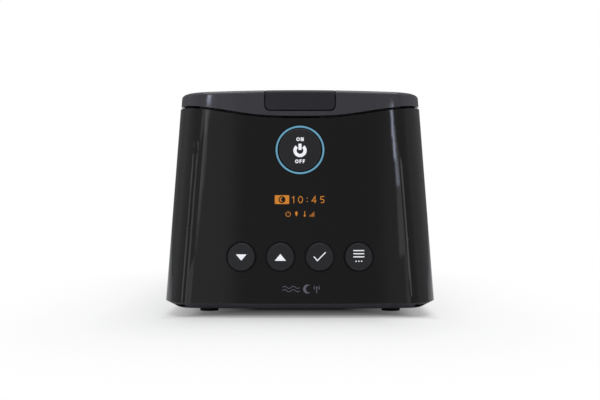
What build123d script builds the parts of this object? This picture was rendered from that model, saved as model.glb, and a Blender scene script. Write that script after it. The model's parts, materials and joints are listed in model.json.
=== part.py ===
from build123d import *
import math
import os

# A bedside CPAP machine with a built-in heated humidifier.
#
# Frame: millimetres, +Z up, -Y is the front with the controls, +X is the right-hand side as the
# user faces the machine. The origin is on the surface that the machine stands on, below its middle.
#
# The casing is one drafted form with a plan outline of tangent arcs. The base tray, the front
# fascia, the main housing and the lid are all cut from that form, so their outer faces run on.

# ---------------------------------------------------------------- driving dimensions

# casing
WIDTH = 171.2               # across the casing, at the top of the base
DEPTH = 275.0               # front to rear, at the same height
GROUND_GAP = 5.2            # underside of the casing above the table
LIP_TOP = 8.9               # joint between the base tray and the upper casing
BASE_BEVEL = 7.4            # the base tray slopes in by this much below that joint
BASE_FLOOR = 2.5
LID_TOP = 140.8
LID_CROWN = 2200.0          # radius of the lid's top, across the machine
LID_INSET = 0.3             # the lid is this much smaller all round than the body below it
FORM_TOP = 150.0            # the drafted form is drawn past the lid, then cut
WALL = 2.6
LID_WALL = 2.4
SIDE_DRAFT = 3.9            # degrees, each side
FRONT_LEAN = 5.0            # degrees, the front face leans back
REAR_LEAN = 3.0
FRONT_RADIUS = 480.0        # plan radius of the front face
TIGHT_CORNER = 18.0         # front corner, next to the front face
EASY_CORNER = 40.0          # front corner, next to the side
CORNER_BREAK = 60.0         # degrees, where one corner arc meets the other
REAR_RADIUS = 900.0
REAR_CORNER = 22.0
TOP_FILLET = 2.3
DECK_FILLET = 1.6

# the curved parting line between the body and the lid: (distance from the middle, height)
SEAM = [(0.0, 123.8), (27.0, 124.8), (47.0, 127.8), (67.5, 130.6), (95.0, 131.9)]
SEAM_GAP = 1.6
PANEL_GAP = 0.25            # between fixed casing parts
FASCIA_DEPTH = 29.0         # how far the fascia wraps round the corners

# hinge
HINGE_Y = 72.0
HINGE_Z = 131.9
BARREL_R = 8.0
BARREL_HALF = 49.7
KNUCKLE_GAP = 0.6
HINGE_PIN_R = 2.0
HINGE_PIN_REACH = (36.5, 62.0)
LID_REAR = HINGE_Y - BARREL_R - KNUCKLE_GAP
BAY_BACK = LID_REAR - 0.9   # front face of the cross wall that the hinge stands on
SIDE_END = HINGE_Y - BARREL_R + 0.5     # the side walls drop to the deck inside the hinge lugs
DECK_Z = 123.2              # rear deck, below the front of the hinge
TROUGH_Z = 114.5            # lower edge of the wall below the barrel, above the air ducts
DECK_FALL = 0.13            # drop per millimetre towards the rear

# latch
LATCH_HALF = 21.5
LATCH_BOTTOM = 128.35
LATCH_CORNER = 2.9
LATCH_GAP = 0.8
LATCH_BACK = -123.0
LATCH_TRAVEL = 1.5
HOOK_X = (12.0, 18.0)       # two hooks, either side of the start button
HOOK_FRONT = -122.3
HOOK_REAR = -120.3
SPRING_SEAT = -111.5

# controls, as places on the front face
BUTTON_TRAVEL = 0.8
BUTTON_Z = 37.5
BUTTON_PITCH = 24.05
BUTTON_R = 8.35
BUTTON_HOLE_R = 9.5
START_Z = 103.3
START_R = 13.2
RING_IN = 13.95
RING_OUT = 15.05
RING_FLANGE = 1.2           # ring flange past the ring, behind the fascia
START_HOLE_R = 15.75
DISPLAY_Z = 68.5
PROUD = 0.4                 # how far the caps stand out of the face
FLANGE_MORE = 1.9           # cap flange past the cap, behind the fascia
STEM_END = 7.75             # depth below the front face
CARRIER_DEPTH = (6.8, 7.5)
BOARD_DEPTH = (13.0, 14.6)

# water chamber and its bay
BAY_X = 65.0
BAY_Y = (-96.0, 52.0)
BAY_WALL = 2.0
BAY_FLOOR = 28.0
RIM_Z = 121.4
CHAMBER_X = 62.0
CHAMBER_Y = (-93.0, 46.0)
CHAMBER_Z = (30.7, 88.0, 115.0)     # underside, rim, top of its lid
CHAMBER_WALL = 2.2
HEATER_Y = -22.0
HEATER_HALF = 50.0
HEATER_Z = (26.2, 29.2)

# air path
PORT_X = 38.0
PORT_Z = 102.0
DUCT_OUT = 11.5
DUCT_IN = 9.2
DUCT_BEND = 12.0
SEAL_T = 1.6
ELBOW_Y = 108.0
ELBOW_Z = 137.0
HOSE_R = 11.0               # the standard 22 mm hose cone
ELBOW_END = 137.4
CUP_R = 12.3
CUP_TOP = 122.0

# blower: its axis runs front to rear
BLOWER_X = -14.0
BLOWER_Z = 54.0
VOLUTE_Y = (80.0, 91.0, 102.0)
VOLUTE_WALL = 2.0
SPOUT_TOP = 86.0
SHAFT_R = 2.0

# rear wall
FILTER_X = (-52.0, 24.0)
FILTER_Z = (22.0, 78.0)
FILTER_GAP = 0.4
INLET_X = 48.0
INLET_Z = 34.0
INLET_FACE = 133.6
USB_Z = 66.45
USB_FACE = 132.4

# boards in the rear compartment
BOARD_X = (30.0, 71.5)
BOARD_POSTS = [(x, y) for x in (33.0, 68.5) for y in (62.8, 109.2)]
BOARD_Z = (14.0, 62.0)      # undersides of the supply board and the main board
BOARD_T = 1.6

# feet and screws
FEET = [(x, y) for x in (-59.5, 59.5) for y in (-88.0, 102.0)]
FOOT_R = 6.0
SCREWS = [(x, y) for x in (-75.0, 75.0) for y in (-80.0, 0.0, 100.0)]
SCREW_HEAD_R = 2.6

# short slots in the bevel of the base, one at each front corner
SLOT_X = (71.2, 77.4)
SLOT_Z = (5.9, 7.5)
SLOT_INSET = 6.5

nodes = {}


# ---------------------------------------------------------------- small helpers

def block(x, y, z):
    """A box from three (low, high) pairs."""
    size = Box(x[1] - x[0], y[1] - y[0], z[1] - z[0])
    return Pos((x[0] + x[1]) / 2, (y[0] + y[1]) / 2, (z[0] + z[1]) / 2) * size


def pad(x, y, z, radius):
    """A box with its four upright edges rounded."""
    sheet = Pos((x[0] + x[1]) / 2, (y[0] + y[1]) / 2, z[0]) * RectangleRounded(x[1] - x[0], y[1] - y[0], radius)
    return extrude(sheet, amount=z[1] - z[0])


def ring_pad(x, y, z, radius, width):
    """A rounded rectangular frame of the given width."""
    inner_x = (x[0] + width, x[1] - width)
    inner_y = (y[0] + width, y[1] - width)
    return pad(x, y, z, radius) - pad(inner_x, inner_y, z, radius - width)


def rod(start, direction, radius, length):
    return Solid.make_cylinder(radius, length, Plane(origin=start, z_dir=direction))


def tube(start, direction, outer, inner, length):
    return rod(start, direction, outer, length) - rod(start, direction, inner, length)


def side_prism(points, half=120.0):
    """A prism along X from a (y, z) polygon."""
    face = Plane.YZ * make_face(Polyline(*points, close=True))
    return extrude(face, amount=half, both=True)


def pipe(points, radius, bend):
    """A round bar along straight runs joined by arcs of one radius."""
    path = FilletPolyline(*points, radius=bend)
    start = Plane(origin=path @ 0, z_dir=path % 0)
    return sweep(start * Circle(radius), path=path)


# ---------------------------------------------------------------- the casing form

def half_width(z):
    return WIDTH / 2 - (z - LIP_TOP) * math.tan(math.radians(SIDE_DRAFT))


def front_y(z):
    return -DEPTH / 2 + (z - LIP_TOP) * math.tan(math.radians(FRONT_LEAN))


def rear_y(z):
    return DEPTH / 2 - (z - LIP_TOP) * math.tan(math.radians(REAR_LEAN))


def outline(z, inset):
    """The plan outline at height z: front arc, two tangent corner arcs, side, rear corner, rear arc.

    An arc is drawn by the angle of its outward normal, counted from the front face (-Y) through
    the right-hand side (+X) to the rear (+Y). Insetting keeps each centre and shortens each radius.
    """
    reach = half_width(z) - inset
    front, tight, easy = FRONT_RADIUS - inset, TIGHT_CORNER - inset, EASY_CORNER - inset
    rear, back = REAR_CORNER - inset, REAR_RADIUS - inset
    turn = math.radians(CORNER_BREAK)
    first = math.asin((reach - tight * math.sin(turn) - easy * (1 - math.sin(turn))) / (front - tight))
    last = math.pi - math.asin((reach - rear) / (back - rear))

    def on(centre, radius, angle, side=1):
        return (side * (centre[0] + radius * math.sin(angle)), centre[1] - radius * math.cos(angle), z)

    def step(centre, radius, angle):
        return (centre[0] + radius * math.sin(angle), centre[1] - radius * math.cos(angle))

    front_centre = (0.0, front_y(z) + inset + front)
    tight_centre = step(front_centre, front - tight, first)
    easy_centre = step(tight_centre, tight - easy, turn)
    back_centre = (0.0, rear_y(z) - inset - back)
    rear_centre = step(back_centre, back - rear, last)
    corners = [(tight_centre, tight, first, turn), (easy_centre, easy, turn, math.pi / 2),
               (rear_centre, rear, math.pi / 2, last)]

    def arc(centre, radius, start, end, side):
        middle = (start + end) / 2
        return ThreePointArc(*[on(centre, radius, angle, side) for angle in (start, middle, end)])

    right = [arc(*corner, 1) for corner in corners]
    left = [arc(*corner, -1) for corner in corners]
    sides = [Line(on(easy_centre, easy, math.pi / 2, side), on(rear_centre, rear, math.pi / 2, side))
             for side in (1, -1)]
    nose = ThreePointArc(*[on(front_centre, front, angle) for angle in (-first, 0.0, first)])
    tail = ThreePointArc(*[on(back_centre, back, angle) for angle in (last, math.pi, 2 * math.pi - last)])
    edges = [nose, right[0], right[1], sides[0], right[2], tail, left[2], sides[1], left[1], left[0]]
    return Wire([edge.edge() for edge in edges])


def form(z, inset=0.0):
    """The drafted casing form between two heights."""
    return Solid.make_loft([outline(z[0], inset), outline(z[1], inset)], ruled=True)


def above_seam(shift):
    """Everything above the parting line, moved up by shift."""
    points = [(-x, z + shift) for x, z in reversed(SEAM[1:])] + [(x, z + shift) for x, z in SEAM]
    curve = Spline(*points, tangents=((1, 0), (1, 0)))
    left, right = points[0], points[-1]
    roof = Polyline(right, (right[0], FORM_TOP + 10), (left[0], FORM_TOP + 10), left)
    return extrude(Plane.XZ * make_face([curve, roof]), amount=DEPTH, both=True)


def split_y(z):
    """The plane where the fascia meets the main housing; it leans with the front."""
    return front_y(z) + FASCIA_DEPTH


def on_face(x, z, depth=0.0):
    """A plane on the front face at height z, sunk by depth, looking out of the face."""
    lean = math.radians(FRONT_LEAN)
    y = front_y(z) + depth * math.cos(lean)
    return Plane(origin=(x, y, z - depth * math.sin(lean)), x_dir=(1, 0, 0),
                 z_dir=(0, -math.cos(lean), math.sin(lean)))


def face_rod(x, z, radius, depth):
    """A cylinder square to the front face between two depths below it (low depth first)."""
    return Solid.make_cylinder(radius, depth[1] - depth[0], on_face(x, z, depth[1]))


def face_box(x, z, width, height, depth):
    """A box square to the front face between two depths below it."""
    return extrude(on_face(x, z, depth[1]) * Rectangle(width, height), amount=depth[1] - depth[0])


def sag(x):
    """How far the bowed front face lies behind its middle."""
    return x * x / (2 * FRONT_RADIUS)


BODY_Z = (LIP_TOP, FORM_TOP)
outer_form = form(BODY_Z)
inner_form = form((LIP_TOP - 1, FORM_TOP + 1), WALL)


# ---------------------------------------------------------------- casing

def base_tray():
    """A shallow tray with a bevel all round below, and a rim that the upper casing fits over."""
    slab = Solid.make_loft([outline(GROUND_GAP, BASE_BEVEL), outline(LIP_TOP, 0)], ruled=True)
    tray = slab + form((LIP_TOP - 1, LIP_TOP + 4.5), WALL + PANEL_GAP)
    tray -= form((GROUND_GAP + BASE_FLOOR, LIP_TOP + 6), BASE_BEVEL)
    tray -= form((LIP_TOP, LIP_TOP + 6), WALL + 2)
    for x, y in SCREWS:
        tray += rod((x, y, GROUND_GAP + 2), (0, 0, 1), 4.6, 3.3)
    for x, y in FEET:
        tray -= rod((x, y, GROUND_GAP - 1), (0, 0, 1), FOOT_R + 0.1, 2.0)
    for x, y in SCREWS:
        tray -= rod((x, y, GROUND_GAP - 1), (0, 0, 1), SCREW_HEAD_R + 0.3, 3.6)
        tray -= rod((x, y, GROUND_GAP), (0, 0, 1), 1.8, 8.0)
    for x in (BLOWER_X - 16, BLOWER_X + 16):
        for y in (84.0, 98.0):
            tray += rod((x, y, GROUND_GAP + 2), (0, 0, 1), 4.5, 4.8)
    for x, y in BOARD_POSTS:
        tray += rod((x, y, GROUND_GAP + 2), (0, 0, 1), 3.0, BOARD_Z[0] - GROUND_GAP - 2)
    for x in (-31.0, 31.0):
        tray += block((x - 3, x + 3), (HEATER_Y - 38, HEATER_Y + 38), (GROUND_GAP + 2, 10.0))
    skin = slab - form((GROUND_GAP, LIP_TOP), SLOT_INSET)
    for side in (-1, 1):
        tray -= skin & block(sorted((side * SLOT_X[0], side * SLOT_X[1])), (-140, -110), SLOT_Z)
    return tray


def front_fascia():
    shell = outer_form - inner_form - above_seam(-SEAM_GAP / 2)
    shell &= side_prism([(-200, 0), (split_y(0), 0), (split_y(FORM_TOP), FORM_TOP), (-200, FORM_TOP)])
    for x in BUTTON_XS:
        shell -= face_rod(x, BUTTON_Z, BUTTON_HOLE_R, (-5.0, 12.0))
    shell -= face_rod(0, START_Z, START_HOLE_R, (-5.0, 12.0))
    return shell


def rear_deck(y, drop=0.0):
    return DECK_Z - (y - SIDE_END) * DECK_FALL - drop


def main_housing():
    gap = PANEL_GAP
    outside = [(split_y(0) + gap, 0), (split_y(FORM_TOP) + gap, FORM_TOP), (SIDE_END, FORM_TOP),
               (SIDE_END, DECK_Z), (150, rear_deck(150)), (150, 0)]
    inside = [(-150, 0), (-150, FORM_TOP), (SIDE_END, FORM_TOP), (SIDE_END, DECK_Z), (BAY_BACK, DECK_Z),
              (BAY_BACK, TROUGH_Z), (BAY_BACK + WALL, TROUGH_Z), (BAY_BACK + WALL, rear_deck(BAY_BACK + WALL, WALL)),
              (150, rear_deck(150, WALL)), (150, 0)]
    shell = outer_form & side_prism(outside)
    rim = [edge for edge in shell.edges() if edge.center().Y > SIDE_END + 1 and edge.center().Z > TROUGH_Z - 5]
    shell = fillet(rim, DECK_FILLET)
    shell -= inner_form & side_prism(inside)
    shell -= above_seam(-SEAM_GAP / 2) & block((-100, 100), (-150, SIDE_END), (100, 170))

    # hinge lugs: round tops in line with the lid's barrel, cored from below
    lug = rod((BARREL_HALF + KNUCKLE_GAP, HINGE_Y, HINGE_Z), (1, 0, 0), BARREL_R, 40)
    lug += block((BARREL_HALF + KNUCKLE_GAP, 90), (HINGE_Y - BARREL_R, HINGE_Y + BARREL_R), (DECK_Z - WALL, HINGE_Z))
    lug &= outer_form
    lug -= rod((BARREL_HALF, HINGE_Y, HINGE_Z), (1, 0, 0), HINGE_PIN_R + 0.02, HINGE_PIN_REACH[1] - BARREL_HALF)
    shell += lug
    shell += mirror(lug, about=Plane.YZ)

    # frame that holds the air filter behind its window in the rear wall
    wide = (FILTER_X[0] - 2.5, FILTER_X[1] + 2.5)
    tall = (FILTER_Z[0] - 2.5, FILTER_Z[1] + 2.5)
    shell += block(wide, (121, 140), tall) & form(BODY_Z, 0.5)
    shell -= block(FILTER_X, (120, 150), FILTER_Z)

    # windows for the mains inlet and the data port, and the collar of the hose elbow
    shell -= block((INLET_X - 14.3, INLET_X + 14.3), (120, 150), (INLET_Z - 10.3, INLET_Z + 10.3))
    shell -= block((INLET_X - 6.9, INLET_X + 6.9), (120, 150), (USB_Z - 3.1, USB_Z + 3.1))
    shell -= rod((PORT_X, ELBOW_Y, 100), (0, 0, 1), CUP_R + 2.5, 40)

    # screw bosses, each tied to the side wall
    for x, y in SCREWS:
        side = math.copysign(1, x)
        web = sorted((x, x + side * 9))
        boss = rod((x, y, LIP_TOP + 1.8), (0, 0, 1), 3.2, 20)
        boss += block(web, (y - 1.2, y + 1.2), (LIP_TOP + 5, LIP_TOP + 20))
        shell += boss & form(BODY_Z, 0.5)
        shell -= rod((x, y, LIP_TOP), (0, 0, 1), 1.5, 16)
    return shell


def chamber_bay():
    """The tub under the lid: walls round the water chamber, and the rim that the lid seals on."""
    outside = (-BAY_X - BAY_WALL, BAY_X + BAY_WALL)
    deep = (BAY_Y[0] - BAY_WALL, BAY_Y[1] + BAY_WALL)
    tub = pad(outside, deep, (BAY_FLOOR - BAY_WALL, RIM_Z), 10)
    rim = form((RIM_Z - 2, RIM_Z), WALL + 0.3) & block((-90, 90), (-150, BAY_BACK - 0.3), (100, 130))
    tub += rim
    tub -= pad((-BAY_X, BAY_X), BAY_Y, (BAY_FLOOR, RIM_Z + 1), 8)
    opening = HEATER_HALF + 0.5
    tub -= pad((-opening, opening), (HEATER_Y - opening, HEATER_Y + opening), (BAY_FLOOR - 5, BAY_FLOOR + 1), 10.5)
    for x in (-PORT_X, PORT_X):
        tub -= rod((x, BAY_Y[1] - 5, PORT_Z), (0, 1, 0), DUCT_IN + 0.8, 12)
    # slots for the latch hooks; the strip in front of each is the catch
    for side in (-1, 1):
        wide = sorted((side * (HOOK_X[0] - 1.5), side * (HOOK_X[1] + 1.5)))
        tub -= block(wide, (HOOK_FRONT - 0.7, HOOK_REAR + LATCH_TRAVEL + 0.3), (RIM_Z - 4, RIM_Z + 1))
    return tub


# ---------------------------------------------------------------- lid

def latch_window(gap):
    """The latch's outline in the front view, as a bar through the lid."""
    half = LATCH_HALF + gap
    low = LATCH_BOTTOM - gap
    high = FORM_TOP + 10
    sheet = Plane.XZ * Pos(0, (low + high) / 2) * RectangleRounded(2 * half, high - low, LATCH_CORNER + gap)
    return extrude(sheet, amount=DEPTH, both=True)


def under_crown(top):
    """Everything below the lid's slightly crowned top surface."""
    return rod((0, -200, top - LID_CROWN), (0, 1, 0), LID_CROWN, 400)


def lid_form():
    top = form(BODY_Z, LID_INSET) & under_crown(LID_TOP)
    return fillet(top.faces().sort_by(Axis.Z)[-1].edges(), TOP_FILLET)


def lid_shell():
    outside = lid_form() & above_seam(SEAM_GAP / 2) & block((-100, 100), (-150, LID_REAR), (100, 170))
    hollow = form((LIP_TOP, FORM_TOP), LID_WALL) & under_crown(LID_TOP - LID_WALL)
    hollow &= block((-100, 100), (-150, LID_REAR - LID_WALL), (90, 170))
    shell = outside - hollow
    shell -= latch_window(LATCH_GAP) & block((-50, 50), (-150, LATCH_BACK + LATCH_TRAVEL + 0.5), (100, 170))
    barrel = rod((-BARREL_HALF, HINGE_Y, HINGE_Z), (1, 0, 0), BARREL_R, 2 * BARREL_HALF)
    barrel += block((-BARREL_HALF, BARREL_HALF), (LID_REAR - 1, HINGE_Y), (HINGE_Z + 3.3, HINGE_Z + BARREL_R))
    barrel -= rod((-BARREL_HALF - 1, HINGE_Y, HINGE_Z), (1, 0, 0), HINGE_PIN_R + 0.05, 2 * BARREL_HALF + 2)
    barrel -= rod((1 - HINGE_PIN_REACH[0], HINGE_Y, HINGE_Z), (1, 0, 0), 5.0, 2 * HINGE_PIN_REACH[0] - 2)
    shell += barrel
    # rib that the latch spring pushes against
    shell += block((-14, 14), (SPRING_SEAT, SPRING_SEAT + 1.6), (129, LID_TOP - LID_WALL + 0.3))
    return shell


def lid_liner():
    low = RIM_Z + 4.1
    plate = pad((-71.5, 71.5), (-103, 58.5), (low, low + 1.8), 15)
    wall = ring_pad((-66, 66), (-98, 54), (low + 1.8, LID_TOP), 10, 1.8)
    return plate + (wall & under_crown(LID_TOP - LID_WALL - 0.2))


def lid_seal():
    return ring_pad((-70.5, 70.5), (-102, 57.5), (RIM_Z + 0.1, RIM_Z + 4.1), 14, 4)


def latch_button():
    """A pressed cap in the lid's front, open at the top, with a stop flange and two hooked legs."""
    bar = latch_window(0)
    cap = lid_form() & bar & block((-50, 50), (-150, LATCH_BACK), (100, 170))
    hollow = form((LIP_TOP, FORM_TOP), LID_WALL) & under_crown(LID_TOP - LID_WALL)
    cap -= hollow & block((-50, 50), (-150, LATCH_BACK + 1), (100, 170))
    tall = (LATCH_BOTTOM + 1.5, LID_TOP - 5)
    flange = form(BODY_Z, LID_WALL + 0.1) - form(BODY_Z, LID_WALL + 1.5)
    cap += flange & block((-LATCH_HALF - 3.2, LATCH_HALF + 3.2), (-150, -115), tall)
    root = form(BODY_Z, 1.0) - form(BODY_Z, LID_WALL + 1.5)
    cap += root & block((-LATCH_HALF + 1.5, LATCH_HALF - 1.5), (-150, -115), tall)
    wide = (-HOOK_X[1], HOOK_X[1])
    cap += block(wide, (HOOK_FRONT, HOOK_REAR), (LATCH_BOTTOM + 1.5, LATCH_BOTTOM + 8.5))
    cap += block(wide, (HOOK_FRONT - 3.0, HOOK_REAR), (LATCH_BOTTOM + 1.5, LATCH_BOTTOM + 4))
    foot = RIM_Z - 4.6
    hook = side_prism([(HOOK_REAR, LATCH_BOTTOM + 2), (HOOK_REAR, foot), (HOOK_FRONT - 0.3, foot),
                       (HOOK_FRONT - 1.5, foot + 1.5), (HOOK_FRONT - 1.5, foot + 2.3),
                       (HOOK_FRONT, foot + 2.3), (HOOK_FRONT, LATCH_BOTTOM + 2)], HOOK_X[1])
    return cap + (hook - block((-HOOK_X[0], HOOK_X[0]), (-150, -100), (foot - 1, LATCH_BOTTOM + 3)))


def bowed_strip(ends, crown, span, thickness, breadth, plane):
    """A leaf spring: a thin strip bowed as one arc, drawn in a plane and widened along its normal."""
    outer = ThreePointArc((-span, ends), (0, crown), (span, ends))
    lift = math.copysign(thickness, crown - ends)
    inner = ThreePointArc((-span, ends - lift), (0, crown - lift), (span, ends - lift))
    caps = [Line(outer @ 0, inner @ 0), Line(outer @ 1, inner @ 1)]
    return extrude(plane * make_face([outer, inner, *caps]), amount=breadth / 2, both=True)


# ---------------------------------------------------------------- controls

BUTTON_XS = [BUTTON_PITCH * step for step in (-1.5, -0.5, 0.5, 1.5)]
BUTTON_NAMES = ["down_button", "up_button", "confirm_button", "menu_button"]


def small_button(x):
    """A cap that follows the bowed face, a flange that stops it, and a stem for its switch."""
    depth = WALL + 0.2 + sag(abs(x) + BUTTON_R)
    cap = face_rod(x, BUTTON_Z, BUTTON_R, (-8.0, depth + 0.5)) & form(BODY_Z, -PROUD)
    cap = fillet(cap.faces().sort_by(Axis.Y)[0].edges(), 0.5)
    cap += face_rod(x, BUTTON_Z, BUTTON_R + FLANGE_MORE, (depth, depth + 1.0))
    return cap + face_rod(x, BUTTON_Z, 2.5, (depth, STEM_END))


def start_button():
    cap = face_rod(0, START_Z, START_R, (-8.0, 5.0)) & form(BODY_Z, -PROUD)
    cap = fillet(cap.faces().sort_by(Axis.Y)[0].edges(), 0.5)
    cap += face_rod(0, START_Z, RING_OUT, (4.4, 5.4))
    return cap + face_rod(0, START_Z, 3.0, (5.0, STEM_END))


def start_light_ring():
    ring = face_rod(0, START_Z, RING_OUT, (-8.0, 4.2)) & form(BODY_Z, -0.1)
    ring += face_rod(0, START_Z, RING_OUT + RING_FLANGE, (3.1, 4.2))
    return ring - face_rod(0, START_Z, RING_IN, (-9.0, 5.0))


def button_carrier():
    plate = face_box(0, 67.5, 116, 87, CARRIER_DEPTH)
    for x in BUTTON_XS:
        plate -= face_rod(x, BUTTON_Z, 2.9, (5.0, 9.0))
    plate -= face_rod(0, START_Z, RING_OUT + 0.6, (5.0, 9.0))
    return plate - face_box(0, DISPLAY_Z, 30, 14, (5.0, 9.0))


def tact_switch(x, z):
    body = face_box(x, z, 6.0, 6.0, (9.6, BOARD_DEPTH[0]))
    return body + face_rod(x, z, 1.7, (STEM_END + BUTTON_TRAVEL + 0.1, 9.6))


def ring_led(turn):
    radius = (RING_IN + RING_OUT) / 2
    x = radius * math.cos(turn)
    z = START_Z + radius * math.sin(turn) * math.cos(math.radians(FRONT_LEAN))
    return face_box(x, z, 3.2, 2.6, (11.9, BOARD_DEPTH[0]))


def display_module():
    glass = face_box(0, DISPLAY_Z, 40, 26, (3.3, 4.5))
    return glass + face_box(0, DISPLAY_Z, 44, 30, (4.5, 6.2))


# ---------------------------------------------------------------- humidifier

def heater_square(half, z, radius):
    return pad((-half, half), (HEATER_Y - half, HEATER_Y + half), z, radius)


def heater_insulator():
    return heater_square(48, (21.0, HEATER_Z[0]), 9) - heater_square(45, (23.4, HEATER_Z[0]), 7)


def heater_springs():
    strips = []
    for y in (HEATER_Y - 30, HEATER_Y + 30):
        plane = Plane(origin=(0, y, 0), x_dir=(1, 0, 0), z_dir=(0, -1, 0))
        strips.append(bowed_strip(10.6, 20.9, 32, 0.5, 10, plane))
    return strips


def chamber_box(inset, z, radius):
    reach = CHAMBER_X - inset
    return pad((-reach, reach), (CHAMBER_Y[0] + inset, CHAMBER_Y[1] - inset), z, radius - inset)


def chamber_tub():
    low, rim, _ = CHAMBER_Z
    tub = chamber_box(0, (low, rim), 12) - chamber_box(CHAMBER_WALL, (low + CHAMBER_WALL, rim), 12)
    return tub - heater_square(48, (low, low + CHAMBER_WALL), 9)


def chamber_base_plate():
    low = CHAMBER_Z[0]
    return heater_square(52, (HEATER_Z[1], low), 12) + heater_square(47.8, (low, low + 1.5), 9)


def chamber_seal():
    rim = CHAMBER_Z[1]
    return chamber_box(0.3, (rim, rim + 1.4), 12) - chamber_box(3.4, (rim, rim + 1.4), 12)


def chamber_lid():
    """The chamber's cover, with the two ports that meet the seals in the bay's rear wall."""
    low, top = CHAMBER_Z[1] + 1.4, CHAMBER_Z[2]
    cover = chamber_box(0, (low, top), 12)
    cover = fillet(cover.faces().sort_by(Axis.Z)[-1].edges(), 4)
    end = BAY_Y[1] - SEAL_T
    for x in (-PORT_X, PORT_X):
        cover += rod((x, CHAMBER_Y[1] - 4, PORT_Z), (0, 1, 0), DUCT_IN + 2.2, end - CHAMBER_Y[1] + 4)
    cover -= chamber_box(CHAMBER_WALL, (low, top - CHAMBER_WALL), 12)
    for x in (-PORT_X, PORT_X):
        cover -= rod((x, CHAMBER_Y[1] - 6, PORT_Z), (0, 1, 0), DUCT_IN, 12)
    return cover + pad((-35, 35), (-50, -42), (top, top + 3), 3.5)


def port_seal(x):
    """A stepped ring: its lip meets the chamber's port, its neck sits in the bay's wall."""
    lip = tube((x, BAY_Y[1] - SEAL_T, PORT_Z), (0, 1, 0), DUCT_IN + 3.2, DUCT_IN, SEAL_T)
    return lip + tube((x, BAY_Y[1], PORT_Z), (0, 1, 0), DUCT_IN + 0.8, DUCT_IN, BAY_WALL)


# ---------------------------------------------------------------- air path

def volute(inset, y, top):
    """Scroll outline of four quarter arcs whose radius shrinks away from the spout."""
    plane = Plane(origin=(BLOWER_X, y[0], BLOWER_Z), x_dir=(1, 0, 0), z_dir=(0, -1, 0))
    steps = [((-0.5, 0.0), 35.0, 180, 270), ((-0.5, -1.2), 33.8, 270, 360),
             ((0.7, -1.2), 32.6, 0, 90), ((0.7, 0.0), 31.4, 90, 115)]
    arcs = [CenterArc(centre, radius - inset, start, end - start) for centre, radius, start, end in steps]
    first, last = arcs[0] @ 0, arcs[-1] @ 1
    height = top - BLOWER_Z
    tongue = steps[-1][0][0] + steps[-1][1] * math.cos(math.radians(steps[-1][3])) - inset
    corners = [(last.X, last.Y), (tongue, height), (first.X, height), (first.X, first.Y)]
    if inset:
        corners.insert(1, (tongue, last.Y))
    walls = Polyline(*corners)
    return extrude(plane * make_face([*arcs, walls]), amount=-(y[1] - y[0]))


def blower_front_housing():
    front, middle, _ = VOLUTE_Y
    half = volute(0, (front, middle), SPOUT_TOP) - volute(VOLUTE_WALL, (front + VOLUTE_WALL, middle), SPOUT_TOP + 5)
    half -= rod((BLOWER_X, front - 1, BLOWER_Z), (0, 1, 0), 3.0, 5)
    foot = block((BLOWER_X - 20, BLOWER_X + 20), (front, middle), (18.0, 21.5))
    return half + foot


def blower_rear_housing():
    _, middle, rear = VOLUTE_Y
    half = volute(0, (middle, rear), SPOUT_TOP) - volute(VOLUTE_WALL, (middle, rear - VOLUTE_WALL), SPOUT_TOP + 5)
    half += rod((BLOWER_X, rear - 0.5, BLOWER_Z), (0, 1, 0), 14.8, 4.5)
    half -= rod((BLOWER_X, rear - 5, BLOWER_Z), (0, 1, 0), 13.0, 12)
    foot = block((BLOWER_X - 20, BLOWER_X + 20), (middle, rear), (18.0, 21.5))
    return half + foot


def impeller():
    """A back disc and hub with nine backward-curved blades that get lower towards the rim."""
    plane = Plane(origin=(BLOWER_X, 83.4, BLOWER_Z), x_dir=(1, 0, 0), z_dir=(0, 1, 0))
    disc = Cylinder(27.0, 1.4, align=(Align.CENTER, Align.CENTER, Align.MIN))
    hub = Cylinder(5.0, 11.0, align=(Align.CENTER, Align.CENTER, Align.MIN))
    outer = ThreePointArc((6.0, 0.0), (17.0, 3.2), (25.5, 12.0))
    inner = ThreePointArc((6.0, -1.2), (17.4, 1.9), (26.4, 11.0))
    sheet = make_face([outer, inner, Line(outer @ 0, inner @ 0), Line(outer @ 1, inner @ 1)])
    blade = extrude(sheet, amount=10.5)
    taper = revolve(Plane.XZ * make_face(Polyline((12, 10.6), (40, 10.6), (40, 3.0), close=True)), Axis.Z)
    blade -= taper
    wheel = disc + hub
    for step in range(9):
        wheel += Rot(0, 0, 40 * step) * blade
    wheel -= Cylinder(SHAFT_R, 40)
    return plane * wheel


def motor_can():
    can = rod((BLOWER_X, 58.5, BLOWER_Z), (0, 1, 0), 16.5, 21.5)
    can -= rod((BLOWER_X, 60.0, BLOWER_Z), (0, 1, 0), 15.3, 20)
    seat = tube((BLOWER_X, 60.0, BLOWER_Z), (0, 1, 0), 6.5, 5.0, 4.0)
    return can + seat


def motor_stator():
    yoke = tube((BLOWER_X, 66.5, BLOWER_Z), (0, 1, 0), 15.2, 12.6, 8)
    for step in range(6):
        tooth = Pos(11.0, 0, 4) * Box(4.0, 4.2, 8) + Pos(9.4, 0, 4) * Box(1.0, 7.0, 8)
        yoke += Plane(origin=(BLOWER_X, 66.5, BLOWER_Z), x_dir=(1, 0, 0), z_dir=(0, 1, 0)) * Rot(0, 0, 60 * step) * tooth
    return yoke


def blower_outlet_duct():
    y = VOLUTE_Y[1]
    start = (-PORT_X, y, SPOUT_TOP + 1)
    path = [start, (-PORT_X, y, PORT_Z), (-PORT_X, BAY_Y[1] + BAY_WALL, PORT_Z)]
    duct = pipe(path, DUCT_OUT, DUCT_BEND)
    duct += block((-PORT_X - 12.5, -PORT_X + 12.5), (VOLUTE_Y[0], VOLUTE_Y[2]), (SPOUT_TOP, SPOUT_TOP + 2))
    path[0] = (-PORT_X, y, SPOUT_TOP - 1)
    path[2] = (-PORT_X, BAY_Y[1], PORT_Z)
    return duct - pipe(path, DUCT_IN, DUCT_BEND)


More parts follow.
